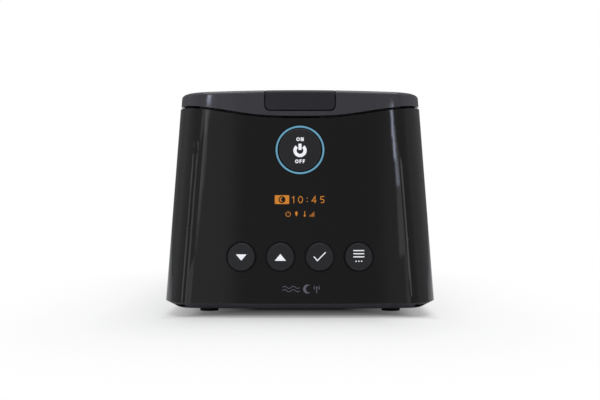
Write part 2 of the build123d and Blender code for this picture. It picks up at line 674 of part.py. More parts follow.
def outlet_duct():
    """From the chamber's outlet back and up into the cup that the hose elbow turns in."""
    foot = CUP_TOP - 6
    path = [(PORT_X, BAY_Y[1] + BAY_WALL, PORT_Z), (PORT_X, ELBOW_Y, PORT_Z), (PORT_X, ELBOW_Y, foot + 1)]
    duct = pipe(path, DUCT_OUT, DUCT_BEND) + rod((PORT_X, ELBOW_Y, foot), (0, 0, 1), CUP_R + 2.2, 6)
    duct -= rod((PORT_X, ELBOW_Y, foot + 1.6), (0, 0, 1), CUP_R, 6)
    path[0] = (PORT_X, BAY_Y[1], PORT_Z)
    path[2] = (PORT_X, ELBOW_Y, foot + 3)
    return duct - pipe(path, DUCT_IN, DUCT_BEND)


def outlet_elbow():
    """The swivelling hose connector: spigot with a seal groove, collar, bend and 22 mm cone."""
    low = CUP_TOP - 4.1
    path = [(PORT_X, ELBOW_Y, CUP_TOP + 1), (PORT_X, ELBOW_Y, ELBOW_Z), (PORT_X, ELBOW_END, ELBOW_Z)]
    elbow = pipe(path, HOSE_R, DUCT_BEND)
    elbow += rod((PORT_X, ELBOW_Y, low), (0, 0, 1), CUP_R - 0.3, CUP_TOP + 1 - low)
    collar = rod((PORT_X, ELBOW_Y, CUP_TOP + 0.3), (0, 0, 1), CUP_R + 3.2, 2.2)
    elbow += fillet(collar.faces().sort_by(Axis.Z)[-1].edges(), 1.0)
    elbow -= tube((PORT_X, ELBOW_Y, low + 1.1), (0, 0, 1), CUP_R + 1, CUP_R - 2.0, 2.0)
    path[0] = (PORT_X, ELBOW_Y, low - 1)
    path[2] = (PORT_X, ELBOW_END + 1, ELBOW_Z)
    return elbow - pipe(path, DUCT_IN, DUCT_BEND)


def elbow_seal():
    low = CUP_TOP - 4.1 + 1.2
    return tube((PORT_X, ELBOW_Y, low), (0, 0, 1), CUP_R - 0.1, CUP_R - 1.9, 1.8)


def inlet_plenum():
    wide = (FILTER_X[0] - 2, FILTER_X[1] + 2)
    tall = (FILTER_Z[0] - 2, FILTER_Z[1] + 2)
    box = block(wide, (104, 121), tall)
    box -= block((wide[0] + 1.8, wide[1] - 1.8), (105.8, 122), (tall[0] + 1.8, tall[1] - 1.8))
    return box - rod((BLOWER_X, 100, BLOWER_Z), (0, 1, 0), 15.0, 10)


def filter_cover():
    """A grille that closes the filter window flush with the rear wall."""
    wide = (FILTER_X[0] + FILTER_GAP, FILTER_X[1] - FILTER_GAP)
    tall = (FILTER_Z[0] + FILTER_GAP, FILTER_Z[1] - FILTER_GAP)
    cover = (form(BODY_Z) - form(BODY_Z, 2.2)) & block(wide, (110, 150), tall)
    slots = 9
    pitch = (tall[1] - tall[0] - 8) / slots
    middle = (wide[0] + wide[1]) / 2
    for step in range(slots):
        low = tall[0] + 4 + pitch * step + 1.4
        for near, far in ((wide[0] + 5, middle - 2), (middle + 2, wide[1] - 5)):
            cover -= block((near, far), (110, 150), (low, low + pitch - 2.8))
    return cover - rod((middle, 110, tall[0] - 3), (0, 1, 0), 7.0, 40)


def air_filter():
    gap = FILTER_GAP + 0.4
    return block((FILTER_X[0] + gap, FILTER_X[1] - gap), (121.8, 129.6), (FILTER_Z[0] + gap, FILTER_Z[1] - gap))


# ---------------------------------------------------------------- electrics

def power_inlet():
    """A flush three-pin mains inlet; two corners of its socket are cut off, as the plug's are."""
    body = block((INLET_X - 14, INLET_X + 14), (INLET_FACE - 20, INLET_FACE), (INLET_Z - 10, INLET_Z + 10))
    half, low, high, cut = 12.2, INLET_Z - 8.2, INLET_Z + 8.2, 4.0
    corners = [(INLET_X - half, low), (INLET_X + half, low), (INLET_X + half, high - cut),
               (INLET_X + half - cut, high), (INLET_X - half + cut, high), (INLET_X - half, high - cut)]
    sheet = Plane(origin=(0, INLET_FACE + 1, 0), x_dir=(1, 0, 0), z_dir=(0, -1, 0))
    return body - extrude(sheet * make_face(Polyline(*corners, close=True)), amount=17.2)


def inlet_pins():
    pins = []
    for x, z in ((-7.0, -2.0), (0.0, 2.0), (7.0, -2.0)):
        deep = (INLET_FACE - 16.2, INLET_FACE - 4.7)
        pins.append(block((INLET_X + x - 1, INLET_X + x + 1), deep, (INLET_Z + z - 2, INLET_Z + z + 2)))
    return pins


def usb_port():
    wide, deep = (INLET_X - 6.6, INLET_X + 6.6), (110, USB_FACE)
    shell = block(wide, deep, (USB_Z - 2.85, USB_Z + 2.85))
    shell -= block((wide[0] + 0.35, wide[1] - 0.35), (USB_FACE - 15, 140), (USB_Z - 2.5, USB_Z + 2.5))
    return shell + block((wide[0] + 1, wide[1] - 1), (USB_FACE - 16, USB_FACE - 2), (USB_Z + 0.6, USB_Z + 2.4))


def psu_heatsink():
    low = BOARD_Z[0] + BOARD_T
    sink = block((40, 64), (94, 110), (low, low + 2.4))
    for step in range(6):
        x = 40 + 4.56 * step
        sink += block((x, x + 1.2), (94, 110), (low + 2.4, low + 22))
    return sink


def main_board():
    top = BOARD_Z[1] + BOARD_T
    board = block(BOARD_X, (60, 116), (BOARD_Z[1], top))
    for x, y, wide, tall in ((38, 70, 14, 14), (56, 72, 10, 6), (57, 90, 9, 9), (38, 94, 8, 12)):
        board += block((x, x + wide), (y, y + tall), (top, top + 1.6))
    return board


# ---------------------------------------------------------------- the parts

nodes["base_tray"] = base_tray()
nodes["main_housing"] = main_housing()
nodes["front_fascia"] = front_fascia()
nodes["chamber_bay"] = chamber_bay()
nodes["rubber_feet"] = [rod((x, y, 0), (0, 0, 1), FOOT_R, GROUND_GAP + 1) for x, y in FEET]
nodes["housing_screws"] = [
    rod((x, y, GROUND_GAP + 0.4), (0, 0, 1), SCREW_HEAD_R, 2.2) + rod((x, y, GROUND_GAP + 2), (0, 0, 1), 1.45, 14)
    for x, y in SCREWS]

nodes["lid_shell"] = lid_shell()
nodes["lid_liner"] = lid_liner()
nodes["lid_seal"] = lid_seal()
pin_length = HINGE_PIN_REACH[1] - HINGE_PIN_REACH[0]
nodes["hinge_pins"] = [rod((x, HINGE_Y, HINGE_Z), (1, 0, 0), HINGE_PIN_R, pin_length)
                       for x in (-HINGE_PIN_REACH[1], HINGE_PIN_REACH[0])]
nodes["latch_button"] = latch_button()
nodes["latch_spring"] = bowed_strip(SPRING_SEAT - 0.4, HOOK_REAR, 12, 0.4, 6, Plane.XY.offset(132.5))

nodes["start_button"] = start_button()
nodes["start_light_ring"] = start_light_ring()
for name, x in zip(BUTTON_NAMES, BUTTON_XS):
    nodes[name] = small_button(x)
nodes["button_carrier"] = button_carrier()
nodes["control_board"] = face_box(0, 70.0, 112, 94, BOARD_DEPTH)
nodes["tact_switches"] = [tact_switch(x, BUTTON_Z) for x in BUTTON_XS] + [tact_switch(0, START_Z)]
nodes["ring_leds"] = [ring_led(math.radians(22.5 + 45 * step)) for step in range(8)]
nodes["display_module"] = display_module()

nodes["heater_plate"] = heater_square(HEATER_HALF, HEATER_Z, 10)
nodes["heater_element"] = heater_square(44.5, (25.2, HEATER_Z[0]), 6.5)
nodes["heater_insulator"] = heater_insulator()
nodes["heater_springs"] = heater_springs()
nodes["chamber_tub"] = chamber_tub()
nodes["chamber_base_plate"] = chamber_base_plate()
nodes["chamber_seal"] = chamber_seal()
nodes["chamber_lid"] = chamber_lid()
nodes["chamber_inlet_seal"] = port_seal(-PORT_X)
nodes["chamber_outlet_seal"] = port_seal(PORT_X)

nodes["filter_cover"] = filter_cover()
nodes["air_filter"] = air_filter()
nodes["inlet_plenum"] = inlet_plenum()
nodes["blower_front_housing"] = blower_front_housing()
nodes["blower_rear_housing"] = blower_rear_housing()
nodes["impeller"] = impeller()
nodes["motor_shaft"] = rod((BLOWER_X, 60.5, BLOWER_Z), (0, 1, 0), SHAFT_R, 36)
nodes["motor_magnet"] = tube((BLOWER_X, 66.5, BLOWER_Z), (0, 1, 0), 8.2, SHAFT_R, 8)
nodes["motor_bearings"] = [tube((BLOWER_X, y, BLOWER_Z), (0, 1, 0), 5.0, SHAFT_R + 0.04, 3.5) for y in (60.2, 76.0)]
nodes["motor_stator"] = motor_stator()
nodes["motor_can"] = motor_can()
nodes["blower_mounts"] = [rod((x, y, 12.0), (0, 0, 1), 4.0, 6.0)
                          for x in (BLOWER_X - 16, BLOWER_X + 16) for y in (84.0, 98.0)]
nodes["blower_outlet_duct"] = blower_outlet_duct()
nodes["outlet_duct"] = outlet_duct()
nodes["outlet_elbow"] = outlet_elbow()
nodes["elbow_seal"] = elbow_seal()

nodes["power_inlet"] = power_inlet()
nodes["power_inlet_pins"] = inlet_pins()
nodes["usb_port"] = usb_port()
supply_top = BOARD_Z[0] + BOARD_T
nodes["psu_board"] = block(BOARD_X, (60, 112), (BOARD_Z[0], supply_top))
nodes["psu_transformer"] = block((47.5, 65.5), (66, 88), (supply_top, supply_top + 22))
nodes["psu_capacitors"] = [rod((40, y, supply_top), (0, 0, 1), 6.0, 24) for y in (72, 86)]
nodes["psu_heatsink"] = psu_heatsink()
nodes["board_standoffs"] = [rod((x, y, supply_top), (0, 0, 1), 2.5, BOARD_Z[1] - supply_top) for x, y in BOARD_POSTS]
nodes["main_board"] = main_board()

os.makedirs("parts", exist_ok=True)
for name, shape in nodes.items():
    solids = shape if isinstance(shape, list) else [shape]
    solids = [solid for item in solids for solid in item.solids()]
    export_step(Compound(children=solids) if len(solids) > 1 else solids[0], f"parts/{name}.step")
print(len(nodes), "nodes")
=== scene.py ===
# %% [markdown]
# # Dressing a bedside breathing machine
# The imported frame already holds every moulded, turned and stamped part of the machine, in metres.
# This notebook keeps those parts as they are and adds what a frame has no use for: a finish for
# each part, the printed and lit marks on the front, the felt of the air filter, copies of the
# springs in one skin, and a small studio with a floor, a lamp and a camera.

import json
import math

import bmesh
import bpy
import numpy as np
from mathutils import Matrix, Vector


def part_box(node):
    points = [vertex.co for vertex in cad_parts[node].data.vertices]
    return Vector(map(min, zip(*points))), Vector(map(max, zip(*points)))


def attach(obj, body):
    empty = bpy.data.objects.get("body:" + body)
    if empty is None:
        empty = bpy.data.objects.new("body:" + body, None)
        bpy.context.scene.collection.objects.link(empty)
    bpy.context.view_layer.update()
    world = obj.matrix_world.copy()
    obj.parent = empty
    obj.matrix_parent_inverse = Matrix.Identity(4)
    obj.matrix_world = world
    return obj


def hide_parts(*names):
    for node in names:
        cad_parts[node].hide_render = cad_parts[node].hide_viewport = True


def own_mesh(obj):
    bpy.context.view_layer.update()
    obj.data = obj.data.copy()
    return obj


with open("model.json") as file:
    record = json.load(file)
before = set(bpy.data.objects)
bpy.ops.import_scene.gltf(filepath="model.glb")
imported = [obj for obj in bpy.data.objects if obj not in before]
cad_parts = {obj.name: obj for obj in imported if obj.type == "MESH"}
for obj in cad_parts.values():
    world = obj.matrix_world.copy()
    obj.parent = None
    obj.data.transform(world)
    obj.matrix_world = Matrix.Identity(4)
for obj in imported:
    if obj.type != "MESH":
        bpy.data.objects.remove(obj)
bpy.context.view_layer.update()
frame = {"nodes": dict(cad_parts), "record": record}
nodes = frame["nodes"]
MM = 0.001

# %% [markdown]
# ## How a finish is put together
# On the real machine a finish is what the pigment and the tool's surface give: a colour, a gloss
# and a grain. Pictures wrapped round the parts could show it, but they blur up close and need an
# unwrapped surface. Here every finish is one Principled shader with a few texture nodes in front
# of it. Values that are the same all over sit on the shader's own sockets.

# %% A finish and its nodes
def make_finish(name, base, roughness, **more):
    """One Principled material; more holds other sockets, with underscores for spaces."""
    finish = bpy.data.materials.new(name)
    finish.use_nodes = True
    shader = finish.node_tree.nodes["Principled BSDF"]
    shader.inputs["Base Color"].default_value = (*base, 1)
    shader.inputs["Roughness"].default_value = roughness
    for socket, value in more.items():
        shader.inputs[socket.replace("_", " ")].default_value = value
    return finish


def shader_of(finish):
    """The Principled shader of a finish."""
    return finish.node_tree.nodes["Principled BSDF"]


def add(owner, kind, inputs=None, **settings):
    """Adds a shader node to a finish or a world, with its settings and its plain inputs."""
    made = owner.node_tree.nodes.new("ShaderNode" + kind)
    for key, value in settings.items():
        setattr(made, key, value)
    for key, value in (inputs or {}).items():
        made.inputs[key].default_value = value
    return made


def join(owner, source, target):
    """Leads a result socket to an input socket."""
    owner.node_tree.links.new(source, target)


def remap(owner, value, span, to=(0.0, 1.0), **settings):
    """A value carried from one span to another and held at its ends; gives the result socket."""
    ends = {"From Min": span[0], "From Max": span[1], "To Min": to[0], "To Max": to[1]}
    made = add(owner, "MapRange", ends, **settings)
    join(owner, value, made.inputs["Value"])
    return made.outputs["Result"]


print("finishes are built with Blender", bpy.app.version_string)

# %% [markdown]
# ## Unevenness
# No moulding is even: its gloss, its colour and its surface all drift a little. That drift could be
# painted by hand, but noise read in Object coordinates gives it for nothing. The parts lie
# untransformed at the origin, so those coordinates are simply metres in the machine, and a pattern
# keeps its size from one part to the next. A bump moves no point: it only tilts the normals, which
# is enough for grain that is finer than any mesh.

# %% Noise, roughness and relief
NOISE_SPAN = (0.3, 0.7)     # nearly all values of the noise lie between these
FINE_SHARE = 0.55           # how much each finer layer of the noise counts


def noise(finish, per_metre, scale=(1, 1, 1), detail=2.0):
    """Noise in the machine's own metres; along an axis with a small scale the pattern is long."""
    place = add(finish, "TexCoord")
    scaled = add(finish, "Mapping", {"Scale": scale})
    grain = add(finish, "TexNoise", {"Scale": per_metre, "Detail": detail, "Roughness": FINE_SHARE})
    join(finish, place.outputs["Object"], scaled.inputs["Vector"])
    join(finish, scaled.outputs["Vector"], grain.inputs["Vector"])
    return grain.outputs["Fac"]


def vary_roughness(finish, pattern, low, high):
    """Roughness follows a pattern between two values."""
    join(finish, remap(finish, pattern, NOISE_SPAN, (low, high)), shader_of(finish).inputs["Roughness"])


def relief(finish, pattern, depth):
    """Bump of that depth in metres; a second call stacks on the first."""
    bump = add(finish, "Bump", {"Strength": 1.0, "Distance": depth})
    socket = shader_of(finish).inputs["Normal"]
    if socket.links:
        join(finish, socket.links[0].from_socket, bump.inputs["Normal"])
    join(finish, pattern, bump.inputs["Height"])
    join(finish, bump.outputs["Normal"], socket)


print("noise is used from", NOISE_SPAN[0], "to", NOISE_SPAN[1])

# %% [markdown]
# ## Black gloss
# The front panel is moulded in black acrylic from a mirror-polished tool. An even, smooth shader
# would be the short way, but real panels never are perfect mirrors: cooling leaves a long, shallow
# waviness, and wiping leaves patches a little duller than the rest. The waves are a bump of a few
# micrometres, which only shows where the edge of a bright reflection runs over them.

# %% Gloss finishes
WIPED, ORANGE_PEEL, LONG_WAVE = 38, 320, 45         # noise per metre
PEEL_DEPTH, WAVE_DEPTH = 1.2e-6, 6e-6


def gloss_black(name, base, low, high):
    """A polished moulding whose roughness drifts between two values."""
    finish = make_finish(name, base, low)
    vary_roughness(finish, noise(finish, WIPED, scale=(1, 1, 0.35)), low, high)
    relief(finish, noise(finish, ORANGE_PEEL, detail=1.0), PEEL_DEPTH)
    relief(finish, noise(finish, LONG_WAVE, scale=(1, 1, 0.2), detail=0.0), WAVE_DEPTH)
    return finish


finishes = {
    "fascia_gloss": gloss_black("panel_black_gloss", (0.0052, 0.0042, 0.0044), 0.018, 0.034),
    "casing_black": gloss_black("casing_black_polish", (0.0060, 0.0056, 0.0062), 0.10, 0.16),
}
print("gloss:", *finishes)

# %% [markdown]
# ## Satin mouldings
# The lid, the latch, the base and the button caps come from spark-eroded tools. The sparks leave
# craters a fraction of a millimetre wide. As geometry they would take millions of faces, so two
# layers of noise stand for them, a fine one for the craters and a broad one for the slow change of
# sheen across a moulding. The lid is nearly polished, so its craters are the shallowest.

# %% Satin finishes
SHEEN_DRIFT = 30            # noise per metre
LIGHTEST = 1.12             # the lightest grain, against the base colour
COLOUR_SPAN = (0.35, 0.65)  # the noise values between which the colour changes
LATCH_SHINE = 0.3


def vary_colour(finish, pattern, low, high):
    """Base colour follows a pattern between two colours."""
    ramp = add(finish, "ValToRGB")
    for stop, place, colour in zip(ramp.color_ramp.elements, COLOUR_SPAN, (low, high)):
        stop.position = place
        stop.color = (*colour, 1)
    join(finish, pattern, ramp.inputs["Fac"])
    join(finish, ramp.outputs["Color"], shader_of(finish).inputs["Base Color"])


def satin(name, base, low, high, crater=4.0e-6, per_metre=3600):
    """A moulding with craters of that depth in metres, and so much noise per metre."""
    finish = make_finish(name, base, low)
    vary_roughness(finish, noise(finish, SHEEN_DRIFT), low, high)
    lightest = tuple(channel * LIGHTEST for channel in base)
    vary_colour(finish, noise(finish, per_metre / 2, detail=1.0), base, lightest)
    relief(finish, noise(finish, per_metre, detail=1.5), crater)
    return finish


finishes.update(
    tray_grey=satin("tray_dark_satin", (0.0380, 0.0365, 0.0440), 0.34, 0.42),
    lid_grey=satin("lid_grey_satin", (0.0495, 0.0470, 0.0540), 0.035, 0.055, crater=0.15e-6),
    latch_dark=satin("latch_dark_satin", (0.0215, 0.0205, 0.0255), 0.40, 0.48),
    cap_dark=satin("cap_dark_satin", (0.0088, 0.0084, 0.0105), 0.38, 0.46),
    inner_grey=satin("inner_grey_moulding", (0.2300, 0.2350, 0.2450), 0.42, 0.52),
    grille_black=satin("grille_black_satin", (0.0120, 0.0115, 0.0130), 0.36, 0.46),
    elbow_grey=satin("elbow_grey_satin", (0.2450, 0.2550, 0.2700), 0.30, 0.40, crater=2e-6),
    part_black=satin("component_black", (0.0120, 0.0120, 0.0130), 0.45, 0.60, crater=8e-6, per_metre=2200),
    impeller_white=satin("impeller_white_nylon", (0.6400, 0.6400, 0.6300), 0.35, 0.45, crater=2e-6),
)
shader_of(finishes["latch_dark"]).inputs["Specular IOR Level"].default_value = LATCH_SHINE
print(len(finishes), "gloss and satin finishes")

# %% [markdown]
# ## Rubber, silicone, felt and clear plastic
# Soft parts scatter light in wide, dull highlights. Rubber is a satin with deeper, closer grain,
# and silicone is smoother. Felt is a tangle of fibres: hair would show each one, but a stretched
# noise in two directions suggests them well enough at this size. The water chamber is clear
# polycarbonate, with full transmission and its real index of refraction.

# %% Soft and clear finishes
FIBRE_DEPTH = 1.2e-4

finishes["foot_rubber"] = satin("foot_black_rubber", (0.0090, 0.0090, 0.0095), 0.62, 0.78,
                                crater=1.6e-5, per_metre=2600)

silicone = make_finish("seal_dark_silicone", (0.030, 0.030, 0.033), 0.45)
vary_roughness(silicone, noise(silicone, 700), 0.40, 0.55)
relief(silicone, noise(silicone, 1500), 3e-6)
finishes["seal_silicone"] = silicone

clear = make_finish("chamber_clear_polycarbonate", (0.90, 0.94, 0.97), 0.04,
                    Transmission_Weight=1.0, IOR=1.58)
vary_roughness(clear, noise(clear, 60), 0.03, 0.08)
relief(clear, noise(clear, 90, detail=0.0), 8e-6)
finishes["chamber_clear"] = clear

felt = make_finish("filter_white_felt", (0.72, 0.74, 0.76), 0.9, Sheen_Weight=0.35, Sheen_Roughness=0.5)
vary_colour(felt, noise(felt, 900, detail=4.0), (0.60, 0.62, 0.65), (0.80, 0.82, 0.83))
relief(felt, noise(felt, 1500, scale=(0.25, 1, 1), detail=3.0), FIBRE_DEPTH)
relief(felt, noise(felt, 1500, scale=(1, 1, 0.25), detail=3.0), FIBRE_DEPTH)
finishes["filter_felt"] = felt
print(len(finishes), "finishes with rubber, silicone, clear plastic and felt")

# %% [markdown]
# ## Metals, boards and lamp lenses
# Rolled and turned metal shows fine parallel scratches. Anisotropic gloss could give their sheen
# but not the lines, so the noise is stretched many times along one axis instead. Circuit boards are
# green lacquer over copper tracks; a brick pattern of thin lines raised by a few hundredths of a
# millimetre reads as tracks. The lenses of the small lamps let a little light into their white.

# %% Metal, film, board and lens finishes
def brushed(name, base, low, high, scale):
    """Metal with scratches along the axis whose scale is smallest."""
    finish = make_finish(name, base, low, Metallic=1.0)
    lines = noise(finish, 900, scale=scale, detail=3.0)
    vary_roughness(finish, lines, low, high)
    relief(finish, lines, 2e-6)
    return finish


finishes.update(
    plate_metal=brushed("plate_rolled_aluminium", (0.72, 0.73, 0.74), 0.26, 0.42, (0.05, 1, 1)),
    steel=brushed("steel_plain", (0.56, 0.56, 0.58), 0.22, 0.36, (1, 1, 0.08)),
    copper=brushed("copper_bright", (0.80, 0.42, 0.22), 0.24, 0.38, (1, 0.06, 1)),
)

film = make_finish("element_amber_film", (0.42, 0.20, 0.04), 0.3, Coat_Weight=0.4)
vary_colour(film, noise(film, 260, scale=(1, 0.1, 1)), (0.36, 0.16, 0.03), (0.50, 0.25, 0.06))
relief(film, noise(film, 400), 1e-5)
finishes["element_film"] = film

board = make_finish("board_green_lacquer", (0.02, 0.16, 0.07), 0.3, Coat_Weight=0.5)
board_place = add(board, "TexCoord")
tracks = add(board, "TexBrick", {"Scale": 240.0, "Mortar Size": 0.06, "Color1": (0.015, 0.13, 0.05, 1),
                                 "Color2": (0.02, 0.16, 0.07, 1), "Mortar": (0.05, 0.27, 0.12, 1)})
join(board, board_place.outputs["Object"], tracks.inputs["Vector"])
join(board, tracks.outputs["Color"], shader_of(board).inputs["Base Color"])
relief(board, tracks.outputs["Fac"], 3e-5)
finishes["board_green"] = board

lens = make_finish("led_lens_white", (0.85, 0.88, 0.90), 0.2, Subsurface_Weight=0.2, Subsurface_Scale=0.001)
vary_roughness(lens, noise(lens, 800), 0.15, 0.30)
finishes["led_white"] = lens
print(len(finishes), "finishes with metals, film, board and lens")

# %% [markdown]
# ## Where the front surface runs
# The front face leans back and bows forward, so a mark drawn on a flat sheet has to be laid onto
# it. The numbers of the frame could be repeated here, but they would be wrong as soon as the frame
# changes, so the surface is measured: the corners of the faces that look forward are fitted, by
# least squares, with y = a + b z + c x². A cap also has a forward-facing flange deeper in, so the
# fit is made twice, the second time with the front half.

# %% Fit of a forward surface
FORWARD = -0.985            # a face looks forward when its normal's y is below this
PANEL_REACH = 0.050         # the panel is fitted this far from its middle


def forward_corners(name):
    """Corners of all faces of a node that look forward, as an array of places."""
    mesh = nodes[name].data
    places = np.empty(3 * len(mesh.vertices))
    normals = np.empty(3 * len(mesh.polygons))
    corners = np.empty(len(mesh.loops), dtype=int)
    mesh.vertices.foreach_get("co", places)
    mesh.polygons.foreach_get("normal", normals)
    mesh.loops.foreach_get("vertex_index", corners)
    forward = normals.reshape(-1, 3)[:, 1] < FORWARD
    found = places.reshape(-1, 3)[corners.reshape(-1, 3)[forward].ravel()]
    return found[np.abs(found[:, 0]) < PANEL_REACH]


def front_of(name):
    """Least-squares a, b and c of y = a + b z + c x² over the outermost forward surface."""
    found = forward_corners(name)
    for _ in range(2):
        terms = np.column_stack([np.ones(len(found)), found[:, 2], found[:, 0] ** 2])
        fit = np.linalg.lstsq(terms, found[:, 1], rcond=None)[0]
        error = found[:, 1] - terms @ fit
        found = found[error <= error.mean()]
    return fit


panel = front_of("front_fascia")
print("panel: y = %.5f + %.5f z + %.4f x²" % tuple(panel))

# %% [markdown]
# ## Sums on a surface
# Some finishes depend on where a point lies, not on chance: the ring's glow on the angle, the
# floor's on the distance from the machine. Such a sum could be baked into a picture, but a chain of
# Math nodes is exact and stays editable. One helper makes a Math node from sockets or plain
# numbers, and one gives the place of the shaded point.

# %% Maths nodes
def calculate(owner, operation, first, second=None):
    """A maths node on sockets or plain numbers; gives its result socket."""
    made = add(owner, "Math", operation=operation)
    for slot, value in enumerate((first, second)):
        if isinstance(value, bpy.types.NodeSocket):
            join(owner, value, made.inputs[slot])
        elif value is not None:
            made.inputs[slot].default_value = value
    return made.outputs[0]


def object_place(owner):
    """x, y and z of the shaded point in the machine's metres, as three sockets."""
    place, parts = add(owner, "TexCoord"), add(owner, "SeparateXYZ")
    join(owner, place.outputs["Object"], parts.inputs["Vector"])
    return parts.outputs


operations = bpy.types.ShaderNodeMath.bl_rna.properties["operation"].enum_items
print("a Math node has", len(operations), "operations")

# %% [markdown]
# ## The lit ring round the start button
# The ring is a frosted light guide with eight lamps behind it, so it is a little brighter near each
# lamp. Real lamps behind real frosted plastic would render slowly and grainily, so the guide glows
# by itself. The angle round the button comes from the arc tangent of the place on the ring, and a
# cosine of eight times that angle moves the strength by a few percent. A light guide like this is
# masked on its sides, so only the skin at the front glows, and the gaps beside it stay dark.

# %% Ring finish
RING_BLUE = (0.150, 0.400, 0.570)
RING_LAMPS = 8
RING_GLOW = (0.74, 0.84)    # between two lamps, and at a lamp
LIT_DEPTH = 0.4 * MM
ring_low, ring_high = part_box("start_light_ring")
ring_centre = (ring_low + ring_high) / 2
skin_a, skin_b, skin_c = (float(value) for value in front_of("start_light_ring"))

ring = make_finish("ring_blue_light", (0.010, 0.020, 0.028), 0.35, Emission_Color=(*RING_BLUE, 1))
x, y, z = object_place(ring)
angle = calculate(ring, "ARCTAN2", calculate(ring, "SUBTRACT", z, ring_centre.z), x)
wave = calculate(ring, "COSINE", calculate(ring, "MULTIPLY", angle, RING_LAMPS))
strength = remap(ring, wave, (-1.0, 1.0), RING_GLOW)
bow = calculate(ring, "MULTIPLY", calculate(ring, "MULTIPLY", x, x), skin_c)
bowed = calculate(ring, "ADD", calculate(ring, "MULTIPLY", z, skin_b), bow)
depth = calculate(ring, "SUBTRACT", y, calculate(ring, "ADD", bowed, skin_a))
in_skin = calculate(ring, "LESS_THAN", depth, LIT_DEPTH)
join(ring, calculate(ring, "MULTIPLY", strength, in_skin), shader_of(ring).inputs["Emission Strength"])
relief(ring, noise(ring, 1800), 3e-6)
finishes["ring_light"] = ring
print("ring: centre at height", round(ring_centre.z / MM, 1), "mm, lit", round(LIT_DEPTH / MM, 1), "mm deep")

# %% [markdown]
# ## A finish on every part
# The record says what each part is made of, as the name of a material slot. Giving the parts their
# finishes one by one would repeat fifty-eight lines, and a part could be forgotten, so a loop looks
# each one up. The finish is linked to the object, which leaves the frame's mesh as it is.

# %% Every node of the frame gets the finish of its slot
for part in frame["record"]["subparts"]:
    for slot in nodes[part["node"]].material_slots:
        slot.link = "OBJECT"
        slot.material = finishes[part["material_slot"]]

# %% [markdown]
# ## Marks as strips
# The marks of the real machine are pad-printed or shine through a mask. A picture on the panel
# could hold them, but its edges would be soft. Here every mark is made of strips: rows of points
# with two sides. A line is a strip of even width along a path, a drop or a triangle is a strip
# whose width changes, and a crescent is a strip between two arcs. Strips are drawn in millimetres
# on a flat sheet, x to the right and z up.

# %% Straight strips
def line(path, width, closed=False):
    """A strip along a path. Each point moves sideways along the mitre: the sum of the normals
    before and after it, scaled so that both edges stay half a width away."""
    path = np.asarray(path, float)
    ahead = np.roll(path, -1, axis=0) - path
    behind = path - np.roll(path, 1, axis=0)
    if not closed:
        ahead[-1], behind[0] = behind[-1], ahead[0]
    side_a, side_b = [np.column_stack([-run[:, 1], run[:, 0]]) / np.linalg.norm(run, axis=1, keepdims=True)
                      for run in (ahead, behind)]
    mitre = side_a + side_b
    mitre *= width / 2 / np.sum(mitre * side_a, axis=1, keepdims=True)
    strip = np.stack([path + mitre, path - mitre], axis=1)
    return np.concatenate([strip, strip[:1]]) if closed else strip


def upright(heights, halves, x=0.0):
    """A strip symmetric about a vertical line: half widths at given heights."""
    heights, halves = np.broadcast_arrays(np.asarray(heights, float), halves)
    return np.stack([np.column_stack([x - halves, heights]), np.column_stack([x + halves, heights])], axis=1)


def moved(strips, x=0.0, z=0.0, scale=1.0):
    """Strips scaled about the sheet's origin, then moved."""
    return [strip * scale + np.array([x, z]) for strip in strips]


print("a closed square is a strip of", len(line([(0, 0), (1, 0), (1, 1), (0, 1)], 0.1, closed=True)), "rows")

# %% Round strips
def arc(radius, start, end, centre=(0.0, 0.0), count=25, squash=1.0):
    """Points on a circle between two angles in degrees, or on an ellipse if squashed across."""
    turn = np.radians(np.linspace(start, end, count))
    return np.column_stack([centre[0] + squash * radius * np.cos(turn), centre[1] + radius * np.sin(turn)])


def ring_of(radius, width, centre=(0.0, 0.0), squash=1.0):
    """A closed line along a whole circle."""
    return line(arc(radius, 0, 360, centre, 49, squash)[:-1], width, closed=True)


def disc(radius, centre=(0.0, 0.0)):
    """A strip whose half width at height h is the root of r² - h²."""
    height = radius * np.cos(np.linspace(0, math.pi, 19))
    return upright(height + centre[1], np.sqrt(np.maximum(radius ** 2 - height ** 2, 0)), centre[0])


def drop(radius, tall, x, z):
    """A drop: its half width is a power of the sine of a power of the way down from its point."""
    along = np.linspace(0, 1, 25)
    half = radius * np.sin(math.pi * along ** 0.62) ** 0.9
    return upright(z + tall / 2 - tall * along, half, x)


def crescent(radius, bite, shift, centre):
    """A strip between the far side of one circle and a second circle that bites into it, its ends
    drawn together."""
    outer = arc(radius, 50, 310, centre)
    inner = arc(bite, 78, 282, (centre[0] + shift, centre[1]))
    inner = inner + (outer[0] - inner[0]) * np.linspace(1, 0, len(inner))[:, None]
    inner = inner + (outer[-1] - inner[-1]) * np.linspace(0, 1, len(inner))[:, None]
    return np.stack([outer, inner], axis=1)


print("a disc is a strip of", len(disc(1.0)), "rows, a drop one of", len(drop(1.0, 3.0, 0.0, 0.0)))

# %% [markdown]
# ## Letters and digits as single strokes
# The only lettering is ON, OFF and a few digits. Blender's text object could set them, but it would
# bring a typeface along. Each sign here is a handful of strokes in a box one unit high, like a
# plotter's font, so no font file is needed and the stroke weight is free to choose.

